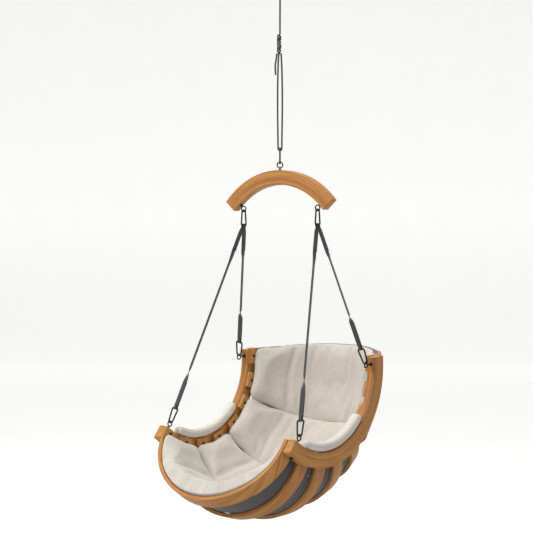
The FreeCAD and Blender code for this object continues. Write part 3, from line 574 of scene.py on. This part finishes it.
def profile_path(inset, count=400):
    """The hoops' U, `inset` inside their outer surface: lengths along it and (x, rho, inward x, inward rho).

    The places are by angle round each arc. on_path() finds them by length.
    """
    places = []
    for k in range(count + 1):
        share = k / count
        phi = math.pi * share
        if phi < SPLIT:
            centre_x, centre_rho, radius = SIDE_X, HOOP_SIDE_RHO, HOOP_SIDE_RADIUS
        elif phi > math.pi - SPLIT:
            centre_x, centre_rho, radius = -SIDE_X, HOOP_SIDE_RHO, HOOP_SIDE_RADIUS
        else:
            centre_x, centre_rho, radius = 0.0, CROWN_RHO, HOOP_CROWN_RADIUS
        c, s = math.cos(phi), math.sin(phi)
        reach = radius - inset
        places.append((centre_x + reach * c, centre_rho + reach * s, -c, -s))
    places = np.array(places)
    lengths = np.concatenate([[0], np.cumsum(np.hypot(*np.diff(places[:, :2], axis=0).T))])
    return lengths, places


PATH_LENGTHS, PATH_PLACES = profile_path(HOOP_THICK + CUSHION_GAP)
PATH_TOTAL = PATH_LENGTHS[-1]


def on_path(distance):
    return [float(np.interp(distance, PATH_LENGTHS, PATH_PLACES[:, c])) for c in range(4)]


def hoop_depth(points):
    """How far inside the hoops' outer surface each point lies."""
    x = np.abs(points[:, 0])
    rho = np.hypot(points[:, 1] - SEAT_Y, points[:, 2] - SEAT_Z)
    leg = INNER_FACE - x
    side = HOOP_SIDE_RADIUS - np.hypot(x - SIDE_X, rho - HOOP_SIDE_RHO)
    crown = HOOP_CROWN_RADIUS - np.hypot(x, rho - CROWN_RHO)
    in_crown = x < (rho - CROWN_RHO) / math.tan(SPLIT)
    return np.where(in_crown, crown, np.where(rho > HOOP_SIDE_RHO, side, leg))


def inward(points):
    """The direction from each point towards the inside of the seat, square to the hoops' surface."""
    x = points[:, 0]
    y, z = points[:, 1] - SEAT_Y, points[:, 2] - SEAT_Z
    rho = np.hypot(y, z)
    wide = np.abs(x)
    in_crown = wide < (rho - CROWN_RHO) / math.tan(SPLIT)
    dx = np.where(in_crown, x, np.where(rho > HOOP_SIDE_RHO, (wide - SIDE_X) * np.sign(x), np.sign(x)))
    drho = np.where(in_crown, rho - CROWN_RHO, np.where(rho > HOOP_SIDE_RHO, rho - HOOP_SIDE_RHO, 0.0))
    size = np.maximum(np.hypot(dx, drho), 1e-6)
    dx, drho = -dx / size, -drho / size
    return np.stack([dx, drho * y / rho, drho * z / rho], axis=1)


def swell(obj, voxel, cap, frames, keep_in):
    """Fills a cushion: remesh, cloth under pressure, the movement capped, then smoothed."""
    remesh = obj.modifiers.new("Remesh", "REMESH")
    remesh.mode = "VOXEL"
    remesh.voxel_size = voxel
    remesh.use_smooth_shade = True
    apply_modifiers(obj)
    rest = get_points(obj.data)
    puffed = obj.modifiers.new("Cloth", "CLOTH")
    settings = puffed.settings
    settings.quality = 4
    settings.mass = 0.25
    settings.tension_stiffness = 12.0
    settings.compression_stiffness = 6.0
    settings.shear_stiffness = 4.0
    settings.bending_stiffness = 8.0
    settings.use_pressure = True
    settings.uniform_pressure_force = 4.0
    settings.effector_weights.gravity = 0.0
    settings.shrink_min = 0.0
    scene = bpy.context.scene
    puffed.point_cache.frame_start = 1
    puffed.point_cache.frame_end = frames
    for step in range(1, frames + 1):
        scene.frame_set(step)
    apply_modifiers(obj)
    moved = get_points(obj.data)
    shift = moved - rest
    reach = np.linalg.norm(shift, axis=1, keepdims=True)
    shift *= np.minimum(1.0, cap / np.maximum(reach, 1e-9))
    set_points(obj.data, keep_in(rest + shift))
    scene.frame_set(1)
    softer = obj.modifiers.new("Smooth", "SMOOTH")
    softer.factor = 0.5
    softer.iterations = 11
    finer = obj.modifiers.new("Subdivision", "SUBSURF")
    finer.levels = 1
    finer.render_levels = 1
    apply_modifiers(obj)
    set_points(obj.data, keep_in(get_points(obj.data)))
    obj.data.polygons.foreach_set("use_smooth", [True] * len(obj.data.polygons))


def keep_in_section(first, last):
    """Pushes points off the hoops and out of the next cushion's section."""

    def keep(points):
        out = points.copy()
        least = HOOP_THICK + CUSHION_GAP
        for _ in range(2):  # a push off one arc can end inside the next
            short = np.maximum(least - hoop_depth(out), 0.0)
            out += inward(out) * short[:, None]
        y, z = out[:, 1] - SEAT_Y, SEAT_Z - out[:, 2]
        rho = np.hypot(y, z)
        middle = (first + last) / 2
        angle = middle + (np.arctan2(y, z) - middle) * SPREAD
        angle = np.clip(angle, first, last)
        out[:, 1] = SEAT_Y + rho * np.sin(angle)
        out[:, 2] = SEAT_Z - rho * np.cos(angle)
        return out

    return keep


def section_loops(first, last, crown_thick, tip_thick, corner, along_steps, ring_steps):
    """A seat cushion's starting shape: rounded cross-sections along the U, narrowed at the wings."""
    middle, half = (first + last) / 2, (last - first) / 2
    loops = []
    for k in range(along_steps + 1):
        share = k / along_steps
        eased = 0.5 - 0.5 * math.cos(math.pi * share)
        share = EVEN * share + CROWDED * eased
        distance = PATH_TOTAL * (END_TRIM + (1 - 2 * END_TRIM) * share)
        x, rho, in_x, in_rho = on_path(distance)
        from_end = min(distance, PATH_TOTAL - distance)
        taper = 0.0
        if from_end < corner:
            taper = corner - math.sqrt(max(corner ** 2 - (corner - from_end) ** 2, 0.0))
        width = half + SIDE_EASE - taper / rho
        full = math.sin(math.pi * distance / PATH_TOTAL) ** FULLNESS
        thick = tip_thick + (crown_thick - tip_thick) * full
        if from_end < SEAT_NOSE:
            thick *= math.sqrt(max(1 - (1 - from_end / SEAT_NOSE) ** 2, 0.02))
        loop = []
        for j in range(ring_steps):
            turn = 2 * math.pi * j / ring_steps
            c, s = math.cos(turn), math.sin(turn)
            # the top is rounder than the underside, which lies on the hoops
            across = math.copysign(abs(c) ** (0.34 if s > 0 else 0.16), c)
            through = math.copysign(abs(s) ** (0.75 if s > 0 else 0.5), s)
            deep = thick * (0.5 + 0.5 * through)
            angle = middle + width * across
            loop.append(seat_point(x + in_x * deep, rho + in_rho * deep, angle))
        loops.append(loop)
    return loops


def seam_line(name, cushion, points, radius, material):
    """A stitched seam: a fine tube laid along the cushion's surface through the points given."""
    tree = BVHTree.FromObject(cushion, bpy.context.evaluated_depsgraph_get())
    laid = []
    for point in points:
        place, normal, _, _ = tree.find_nearest(point)
        laid.append(place + normal * radius * 0.15)
    laid = [(laid[i - 1] + laid[i] * 2 + laid[(i + 1) % len(laid)]) / 4 for i in range(len(laid))]
    loops = []
    ring = 6
    side = None
    for i, place in enumerate(laid):
        ahead = (laid[(i + 1) % len(laid)] - laid[i - 1]).normalized()
        side = ahead.orthogonal().normalized() if side is None else square_to(side, ahead)
        up = ahead.cross(side)
        loops.append([place + (side * math.cos(a) + up * math.sin(a)) * radius
                      for a in (2 * math.pi * j / ring for j in range(ring))])
    count = len(loops)
    verts = [p for loop in loops for p in loop]
    faces = [(i * ring + j, i * ring + (j + 1) % ring,
              ((i + 1) % count) * ring + (j + 1) % ring, ((i + 1) % count) * ring + j)
             for i in range(count) for j in range(ring)]
    return make_object(name, verts, faces, material)


def seat_cushion(place, first, last, crown_thick, corner, top, under):
    name = place + "_cushion_cover"
    along, ring = ((90, 40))
    loops = section_loops(first, last, crown_thick, TIP_THICK, corner, along, ring)
    verts, faces = loops_to_mesh(loops)
    cushion = make_object(name, verts, faces, top)
    fix_normals(cushion)
    keep = keep_in_section(first - SECTION_MEET, last + SECTION_MEET)
    swell(cushion, SEAT_VOXEL, SEAT_CAP, SEAT_FRAMES, keep)
    cushion.data.materials.append(under)
    paint_underside(cushion)
    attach(cushion, "chair")
    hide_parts("cushion_" + place)


def paint_underside(cushion):
    """The faces against the hoops take the dark base cloth."""
    mesh = cushion.data
    centres = np.empty(len(mesh.polygons) * 3)
    normals = np.empty(len(mesh.polygons) * 3)
    mesh.polygons.foreach_get("center", centres)
    mesh.polygons.foreach_get("normal", normals)
    centres, normals = centres.reshape(-1, 3), normals.reshape(-1, 3)
    facing = (normals * inward(centres)).sum(axis=1)
    shallow = hoop_depth(centres) < HOOP_THICK + UNDER_DEPTH
    angle = np.arctan2(centres[:, 1] - SEAT_Y, SEAT_Z - centres[:, 2])
    lip = angle < FIRST + LIP
    wing = np.hypot(centres[:, 1] - SEAT_Y, SEAT_Z - centres[:, 2]) < WING_RHO
    dark = (facing < np.where(lip, NEVER, np.where(wing, AT_WING, ELSEWHERE))) & shallow
    mesh.polygons.foreach_set("material_index", dark.astype(int))
    mesh.update()


def arm_cushion(side_name, sign, top, seam):
    """A long soft pad lying on the inner curve of a side arc."""
    steps, ring = 70, 32
    loops = []
    for k in range(steps + 1):
        share = 0.5 - 0.5 * math.cos(math.pi * k / steps)
        share = 0.5 * share + 0.5 * k / steps
        angle = ARM_FIRST + (ARM_LAST - ARM_FIRST) * share
        from_end = min(share, 1 - share) * (ARM_LAST - ARM_FIRST) * ARC_INNER
        full = 1.0 if from_end > ARM_NOSE else math.sqrt(max(1 - (1 - from_end / ARM_NOSE) ** 2, 0.03))
        loop = []
        for j in range(ring):
            turn = 2 * math.pi * j / ring
            c, s = math.cos(turn), math.sin(turn)
            across = math.copysign(abs(c) ** 0.6, c) * ARM_HALF_WIDTH * (0.62 + 0.38 * full)
            through = math.copysign(abs(s) ** (0.85 if s > 0 else 0.5), s)
            deep = ARM_THICK * (0.5 + 0.5 * through * full)
            loop.append(seat_point(sign * ARM_MIDDLE + across, ARM_OUTER_RHO - deep, angle))
        loops.append(loop)
    verts, faces = loops_to_mesh(loops)
    name = "arm_cushion_%s_cover" % side_name
    cushion = make_object(name, verts, faces, top)
    fix_normals(cushion)

    def keep(points):
        out = points.copy()
        y, z = out[:, 1] - SEAT_Y, SEAT_Z - out[:, 2]
        rho = np.minimum(np.hypot(y, z), ARM_OUTER_RHO)
        angle = np.arctan2(y, z)
        out[:, 1] = SEAT_Y + rho * np.sin(angle)
        out[:, 2] = SEAT_Z - rho * np.cos(angle)
        out[:, 0] = sign * np.clip(np.abs(out[:, 0]), INNER_FACE - ARM_OVERHANG, HALF_WIDTH)
        return out

    swell(cushion, ARM_VOXEL, ARM_CAP, ARM_FRAMES, keep)
    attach(cushion, "chair")
    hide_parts("arm_cushion_" + side_name)
    line = [loop[0] for loop in loops[2:-2]] + [loop[ring // 2] for loop in loops[2:-2]][::-1]
    stitched = seam_line("arm_cushion_%s_seam" % side_name, cushion, line, SEAM_RADIUS, seam)
    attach(stitched, "chair")


# ---------------------------------------------------------------- where the hanging gear meets

EYE_RING = 0.013
EYE_WIRE = 0.003
HOOK_WIRE = 0.0038
LINK_GAP = 0.0008
HOOK_LENGTH = 0.072
LOWER_EYE_ANGLE = math.radians(42.3)
LOWER_EYE_REACH = 0.350 - 0.0241
EYES = {"front": (math.radians(-33.0), 0.029), "back": (math.radians(91.0), 0.042)}
STRAP_OFFSET = 0.0043
BEAM_MID = HALF_WIDTH - BEAM_WIDTH / 2
AXIS_X, AXIS_Y, AXIS_Z = Vector((1, 0, 0)), Vector((0, 1, 0)), Vector((0, 0, 1))


def strap_ends(side, end):
    """The bars a strap runs between and the way its width points at each."""
    eye = Vector((side * math.sin(LOWER_EYE_ANGLE), 0, math.cos(LOWER_EYE_ANGLE))) * LOWER_EYE_REACH
    contact = eye + AXIS_Z * (SPREADER_Z - EYE_RING)
    apex = contact + AXIS_Z * (EYE_WIRE + HOOK_WIRE + LINK_GAP - HOOK_LENGTH)
    apex += AXIS_Y * STRAP_OFFSET * (-1 if end == "front" else 1)
    angle, reach = EYES[end]
    ring = seat_point(side * BEAM_MID, ARC_INNER - 0.0002 - reach, angle)
    pull = (apex - ring).normalized()
    flat = Vector((0, pull.y, pull.z)).normalized()
    bar = ring + flat * (EYE_RING - EYE_WIRE - HOOK_WIRE - LINK_GAP)
    pull = (apex - bar).normalized()
    return apex, bar + pull * HOOK_LENGTH, AXIS_Y, square_to(AXIS_X, pull) * -1


# ---------------------------------------------------------------- straps

STRAP_WIDTH = 0.025
STRAP_THICK = 0.0024
LOOP_RADIUS = 0.0058
MID_TURN = 0.20
FOLD_END = 0.127
FOLD_STEPS = 30
LOOP_TURNS = 14
LOOP_FROM, LOOP_TO = math.radians(52), math.radians(308)
LOOP_MOUTH = 0.010  # from the bar to where the loop starts to close
LOOP_CLOSING = 0.024
LOOP_OPEN = 0.80
RUN_START = 0.006
RUN_SETTLE = 0.03
TWIST_SHARE = 0.12
GATHER = 0.036
GATHER_FROM = 0.004
SHARED_WIDTH = 0.0074  # two straps share each upper bar
LOW_WIDTH = 0.015
CURL = 0.12
LAYER_GAP = 0.0001
STITCH_ROW = 0.0095
STITCH_PITCH = 0.0023
STITCH_FROM, STITCH_TO = 0.050, FOLD_END - 0.002
HALF_SECTION = ((-0.500, 0.10), (-0.485, 0.36), (-0.44, 0.48), (-0.25, 0.5), (0.0, 0.5),
                (0.25, 0.5), (0.44, 0.48), (0.485, 0.36), (0.500, 0.10))


def ease(share):
    share = min(max(share, 0.0), 1.0)
    return share * share * (3 - 2 * share)


def strap_route(length):
    """(distance from the top bar, offset from the middle, zone) along the webbing.

    The zone is "top" or "low" in the folded ends, which go round the bars, and "run" between them.
    """
    layer = STRAP_THICK / 2 + LAYER_GAP

    def spread(d):
        return layer + (LOOP_RADIUS * LOOP_OPEN - layer) * ease(1 - (d - LOOP_MOUTH) / LOOP_CLOSING)

    folded = []
    for k in range(FOLD_STEPS + 1):
        d = FOLD_END + (LOOP_MOUTH - FOLD_END) * k / FOLD_STEPS
        folded.append((d, spread(d)))
    for k in range(LOOP_TURNS + 1):
        a = LOOP_FROM + (LOOP_TO - LOOP_FROM) * k / LOOP_TURNS
        folded.append((LOOP_RADIUS * math.cos(a), LOOP_RADIUS * math.sin(a)))
    for k in range(FOLD_STEPS + 1):
        d = LOOP_MOUTH + (FOLD_END - LOOP_MOUTH) * k / FOLD_STEPS
        folded.append((d, -spread(d)))
    top = [(d, offset, "top") for d, offset in folded]
    low = [(length - d, offset, "low") for d, offset in folded][::-1]
    run = []
    steps = 90
    start, stop = FOLD_END + RUN_START, length - FOLD_END - RUN_START
    for k in range(steps + 1):
        d = start + (stop - start) * k / steps
        from_top = 1 - ease((d - FOLD_END) / RUN_SETTLE)
        to_low = ease((d - length + FOLD_END + RUN_SETTLE) / RUN_SETTLE)
        run.append((d, -layer * from_top - layer * to_low, "run"))
    return top + run + low


def strap(side_name, side, end, material, stitch):
    top, low, top_across, low_across = strap_ends(side, end)
    along = (low - top).normalized()
    length = (low - top).length
    first, last = square_to(top_across, along), square_to(low_across, along)
    turn = first.angle(last)
    if first.cross(last).dot(along) < 0:
        turn = -turn
    route = strap_route(length)
    loops, marks = [], []
    travelled, before = 0.0, None
    centres = []
    for d, offset, zone in route:
        share = (d - FOLD_END) / (length - 2 * FOLD_END)
        early, late = ease(share / TWIST_SHARE), ease((share - 1 + TWIST_SHARE) / TWIST_SHARE)
        turned = first.copy()
        turned.rotate(Quaternion(along, turn * (MID_TURN * early + (1 - MID_TURN) * late)))
        through = along.cross(turned)
        bar, wide, near = (top, top_across, d) if zone == "top" else (low, low_across, length - d)
        if zone == "run":
            centre = top + along * d + through * offset
        else:
            close = 1 - ease((near - 0.006) / 0.02)
            square = square_to(along, wide)
            toward = along.lerp(square, close).normalized()
            centre = bar + toward * (d if zone == "top" else d - length) + through * offset
            turned = turned.lerp(wide if turned.dot(wide) > 0 else -wide, close).normalized()
        centres.append((centre, turned, near, zone))
    for i, (centre, across, near, zone) in enumerate(centres):
        ahead = (centres[min(i + 1, len(centres) - 1)][0] - centres[max(i - 1, 0)][0]).normalized()
        out = ahead.cross(across).normalized()
        least = SHARED_WIDTH if zone == "top" else LOW_WIDTH
        width = STRAP_WIDTH
        if zone != "run":
            width = least + (STRAP_WIDTH - least) * ease((near - GATHER_FROM) / GATHER)
        curl = (STRAP_WIDTH - width) * CURL
        if before is not None:
            travelled += (centre - before).length
        before = centre
        loop, mark = [], []
        for sign in (1, -1):
            for u, t in (HALF_SECTION if sign > 0 else HALF_SECTION[::-1]):
                rise = sign * t * STRAP_THICK + curl * math.cos(math.pi * 2 * u)
                loop.append(centre + across * (u * width) + out * rise)
                mark.append((u * STRAP_WIDTH, travelled))
        loops.append(loop)
        marks.append(mark)
    verts, faces = loops_to_mesh(loops)
    name = "strap_%s_%s" % (end, side_name)
    band = make_object(name + "_webbing", verts, faces, material)
    layer = band.data.uv_layers.new(name="metres")
    flat = [m for mark in marks for m in mark] + [(0.0, 0.0), (0.0, travelled)]
    for corner in band.data.loops:
        layer.data[corner.index].uv = flat[corner.vertex_index]
    fix_normals(band)
    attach(band, "straps_" + side_name)
    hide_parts(name)
    rows = stitch_rows(name, centres, stitch)
    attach(rows, "straps_" + side_name)


def stitch_rows(name, centres, material):
    """Rows of thread across and along the doubled ends, standing slightly off both faces."""
    verts, faces = [], []

    def stitch(place, run, side, out):
        half_run, half_side, rise = run * 0.0013, side * 0.0004, out * 0.0004
        base = len(verts)
        verts.extend([place - half_run - half_side, place + half_run - half_side,
                      place + half_run + half_side, place - half_run + half_side,
                      place - half_run * 0.5 + rise, place + half_run * 0.5 + rise])
        faces.extend([(base, base + 1, base + 5, base + 4), (base + 3, base + 4, base + 5, base + 2),
                      (base, base + 4, base + 3), (base + 1, base + 2, base + 5),
                      (base, base + 3, base + 2, base + 1)])

    for zone in ("top", "low"):
        own = [c for c in centres if c[3] == zone]
        half = own[:FOLD_STEPS] if zone == "top" else own[-FOLD_STEPS:]
        for i, (centre, across, near, _) in enumerate(half):
            if not STITCH_FROM < near < STITCH_TO:
                continue
            other = half[i - 1] if i else half[i + 1]
            run = (other[0] - centre).normalized()
            out = run.cross(across).normalized()
            for face in (1, -1):
                lift = out * face * (STRAP_THICK * 0.5 + LAYER_GAP)
                stitch(centre + across * STITCH_ROW + lift, run, across, out * face)
                stitch(centre - across * STITCH_ROW + lift, run, across, out * face)
                if near > FOLD_END - 0.008 or near < 0.056 or abs(near - 0.088) < 0.0022:
                    for k in range(-4, 5):
                        stitch(centre + across * (k * STITCH_PITCH) + lift, across, run, out * face)
    return make_object(name + "_stitching", verts, faces, material, smooth=False)


# ---------------------------------------------------------------- rope

ROPE = 0.008
ROPE_TURN = 0.0084
BRAID_RIDGE = 0.05
LINK_TURN = math.radians(39.4)
ACROSS_LINK = Vector((math.cos(LINK_TURN), math.sin(LINK_TURN), 0))
ALONG_LINK = Vector((math.sin(LINK_TURN), -math.cos(LINK_TURN), 0))


def rope_curve(name, points, material):
    """A NURBS line through the points given, as thick as the rope."""
    data = bpy.data.curves.new(name, "CURVE")
    data.dimensions = "3D"
    data.bevel_depth = ROPE / 2
    data.bevel_resolution = 5
    data.resolution_u = 16
    data.use_fill_caps = True
    spline = data.splines.new("NURBS")
    spline.points.add(len(points) - 1)
    for target, point in zip(spline.points, points):
        target.co = (*point, 1.0)
    spline.order_u = 3
    spline.use_endpoint_u = True
    data.materials.append(material)
    made = bpy.data.objects.new(name, data)
    bpy.context.scene.collection.objects.link(made)
    return made


def strand_mesh(name, path, radius, material, ring=12):
    """A round strand swept along closely spaced points, with the braid's ridges in its surface."""
    loops = []
    side = (path[1] - path[0]).orthogonal().normalized()
    travelled = 0.0
    for i, place in enumerate(path):
        ahead = (path[min(i + 1, len(path) - 1)] - path[max(i - 1, 0)]).normalized()
        side = square_to(side, ahead)
        up = ahead.cross(side)
        if i:
            travelled += (place - path[i - 1]).length
        loop = []
        for j in range(ring):
            a = 2 * math.pi * j / ring
            ridge = 1 + BRAID_RIDGE * math.sin(travelled * 2 * math.pi / BRAID_PITCH + 3 * a)
            ridge += BRAID_RIDGE * math.sin(travelled * 2 * math.pi / BRAID_PITCH - 3 * a)
            loop.append(place + (side * math.cos(a) + up * math.sin(a)) * radius * ridge)
        loops.append(loop)
    verts, faces = loops_to_mesh(loops)
    made = make_object(name, verts, faces, material)
    fix_normals(made)
    return made


def coil(centre, top, low, wide, turns, phase, steps=90):
    """A helix about a vertical line through `centre`, tucked in at both ends."""
    path = []
    for k in range(steps + 1):
        share = k / steps
        a = phase + 2 * math.pi * turns * share
        reach = wide * (0.45 + 0.55 * ease(min(share, 1 - share) * 7))
        place = centre + ACROSS_LINK * reach * math.cos(a) + ALONG_LINK * reach * math.sin(a)
        path.append(Vector((place.x, place.y, top + (low - top) * share)))
    return path


def rope_parts(material, knot_material):
    """Upper loop, strand, long loop and tail as cords; each knot as three coils of the same rope."""
    upper_top, upper_low = -0.167, -0.195
    main_top, main_low = -0.372, -0.459
    bar = -0.1356
    r = ROPE_TURN
    upper = [(0.005, 0, upper_top), (0.0068, 0, -0.152), (r + 0.0006, 0, bar - 0.004),
             (r, 0, bar + 0.0045), (0.0046, 0, bar + r + 0.0006), (-0.0046, 0, bar + r + 0.0006),
             (-r, 0, bar + 0.0045), (-r - 0.0006, 0, bar - 0.004), (-0.0068, 0, -0.152),
             (-0.005, 0, upper_top)]
    strand = [(0, 0, upper_low), (0.0006, 0, -0.24), (-0.0004, 0.0004, -0.30), (0, 0, main_top)]
    hook = -0.8964

    def at(x, z, y=0.0):
        return tuple(ACROSS_LINK * x + ALONG_LINK * y + AXIS_Z * z)

    long_loop = [at(-0.005, main_low), at(-0.0085, -0.50), at(-0.0105, -0.60, 0.001),
                 at(-0.0110, -0.70, 0.001), at(-0.0100, -0.80), at(-0.0090, -0.87),
                 at(-r - 0.0002, hook + 0.004), at(-r, hook - 0.0045), at(-0.0046, hook - r - 0.0006),
                 at(0.0046, hook - r - 0.0006), at(r, hook - 0.0045), at(r + 0.0002, hook + 0.004),
                 at(0.0088, -0.87), at(0.0098, -0.80), at(0.0112, -0.70, -0.001),
                 at(0.0105, -0.60, -0.001), at(0.0080, -0.50), at(0.005, main_low)]
    tail = [at(-0.0138, main_low), at(-0.0170, -0.485), at(-0.0225, -0.515, 0.001),
            at(-0.0215, -0.540, 0.001), at(-0.0198, -0.559)]
    for name, points, far in (("rope_upper_loop", upper, "knot"), ("rope_strand", strand, "knot"),
                              ("rope_long_loop", long_loop, "knot"), ("rope_tail", tail, "bare")):
        cord = rope_curve(name + "_cord", points, material)
        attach(cord, "rope")
        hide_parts(name)
    shift = ACROSS_LINK * -0.004
    for name, centre, top, low, wide, turns in (("rope_upper_knot", Vector(), -0.165, -0.197, 0.0062, 1.6),
                                                ("rope_knot", shift, -0.371, -0.460, 0.0072, 3.4)):
        paths = [coil(centre, top, low, wide, turns, phase) for phase in (0.4, 0.4 + math.pi)]
        paths.append(coil(centre, top - 0.003, low + 0.003, wide * 0.98, -turns * 0.6, 1.9))
        for k, path in enumerate(paths):
            piece = strand_mesh("%s_turn_%d" % (name, k + 1), path, ROPE / 2 - 0.0003, knot_material)
            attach(piece, "rope")
        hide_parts(name)


# ---------------------------------------------------------------- build


BEAM_DEPTH, BEAM_PLIES = 0.0685, 17
SPREADER_DEPTH, SPREADER_PLIES = 0.068, 17
HOOP_PLIES = 6
CUSHIONS = (("front", 0.078, 0.044), ("seat", 0.072, 0.040), ("lumbar", 0.052, 0.042), ("back", 0.048, 0.046))


def paint(node, material):
    mesh = NODES[node].data
    mesh.materials.clear()
    mesh.materials.append(material)


make_camera()
make_world()
make_stage()
area_light("key", (-1.4, -4.4, 1.6), (0, 0, -1.9), 2.0, 190, (1.0, 0.98, 0.95))
area_light("top", (-0.6, 0.2, 2.2), (0, 0, -2.0), 3.0, 118, (1.0, 1.0, 1.0))
area_light("fill", (4.6, -2.2, 0.2), (0, 0, -2.0), 2.4, 46, (0.97, 0.98, 1.0))

beam_wood = wood("bent_wood_arc", beam_grain, BEAM_DEPTH / BEAM_PLIES, 3.0)
spreader_wood = wood("bent_wood_spreader", spreader_grain, SPREADER_DEPTH / SPREADER_PLIES, 11.0)
hoop_wood = wood("bent_wood_hoop", hoop_grain, HOOP_THICK / HOOP_PLIES, 7.0)
black_metal = coated_metal("black_steel", linear(30, 30, 33), linear(96, 94, 92), 0.35, 0.36)
ceiling_metal = coated_metal("black_plate", linear(44, 44, 47), linear(130, 128, 126), 0.5, 0.42)
bronze = coated_metal("bronze_steel", linear(62, 40, 30), linear(150, 110, 80), 0.8, 0.34)
seat_cloth = cloth("seat_cloth", linear(216, 211, 201), linear(172, 165, 154))
arm_cloth = cloth("arm_cloth", linear(226, 222, 214), linear(194, 189, 179))
under_cloth = cloth("under_cloth", linear(84, 85, 84), linear(56, 56, 56), 0.0016)
arm_thread = thread("arm_seam_thread", linear(214, 209, 200))

for node in NODES:
    if node.startswith("side_arc"):
        paint(node, beam_wood)
    elif node == "spreader_bar":
        paint(node, spreader_wood)
    elif node == "hoop_bolts":
        paint(node, bronze)
    elif node.startswith("hoop_"):
        paint(node, hoop_wood)
    elif node in ("ceiling_plate", "swivel_housing", "swivel_nut", "swivel_thrust_bearing", "swivel_eye"):
        paint(node, ceiling_metal)
    elif "cushion" not in node:
        paint(node, black_metal)

for k, (place, thick, corner) in enumerate(CUSHIONS):
    start = FIRST + k * SECTION
    over = BACK_OVERHANG if place == "back" else 0.0
    seat_cushion(place, start, start + SWEEP + over, thick, corner, seat_cloth, under_cloth)
for side_name, sign in (("left", -1), ("right", 1)):
    arm_cushion(side_name, sign, arm_cloth, arm_thread)

strap_cloth = webbing("strap_webbing")
strap_thread = thread("strap_thread", linear(96, 94, 100))
for side_name, sign in (("left", -1), ("right", 1)):
    for end in ("front", "back"):
        strap(side_name, sign, end, strap_cloth, strap_thread)
rope_parts(cord_material("rope_braid"), knot_rope("knot_braid"))
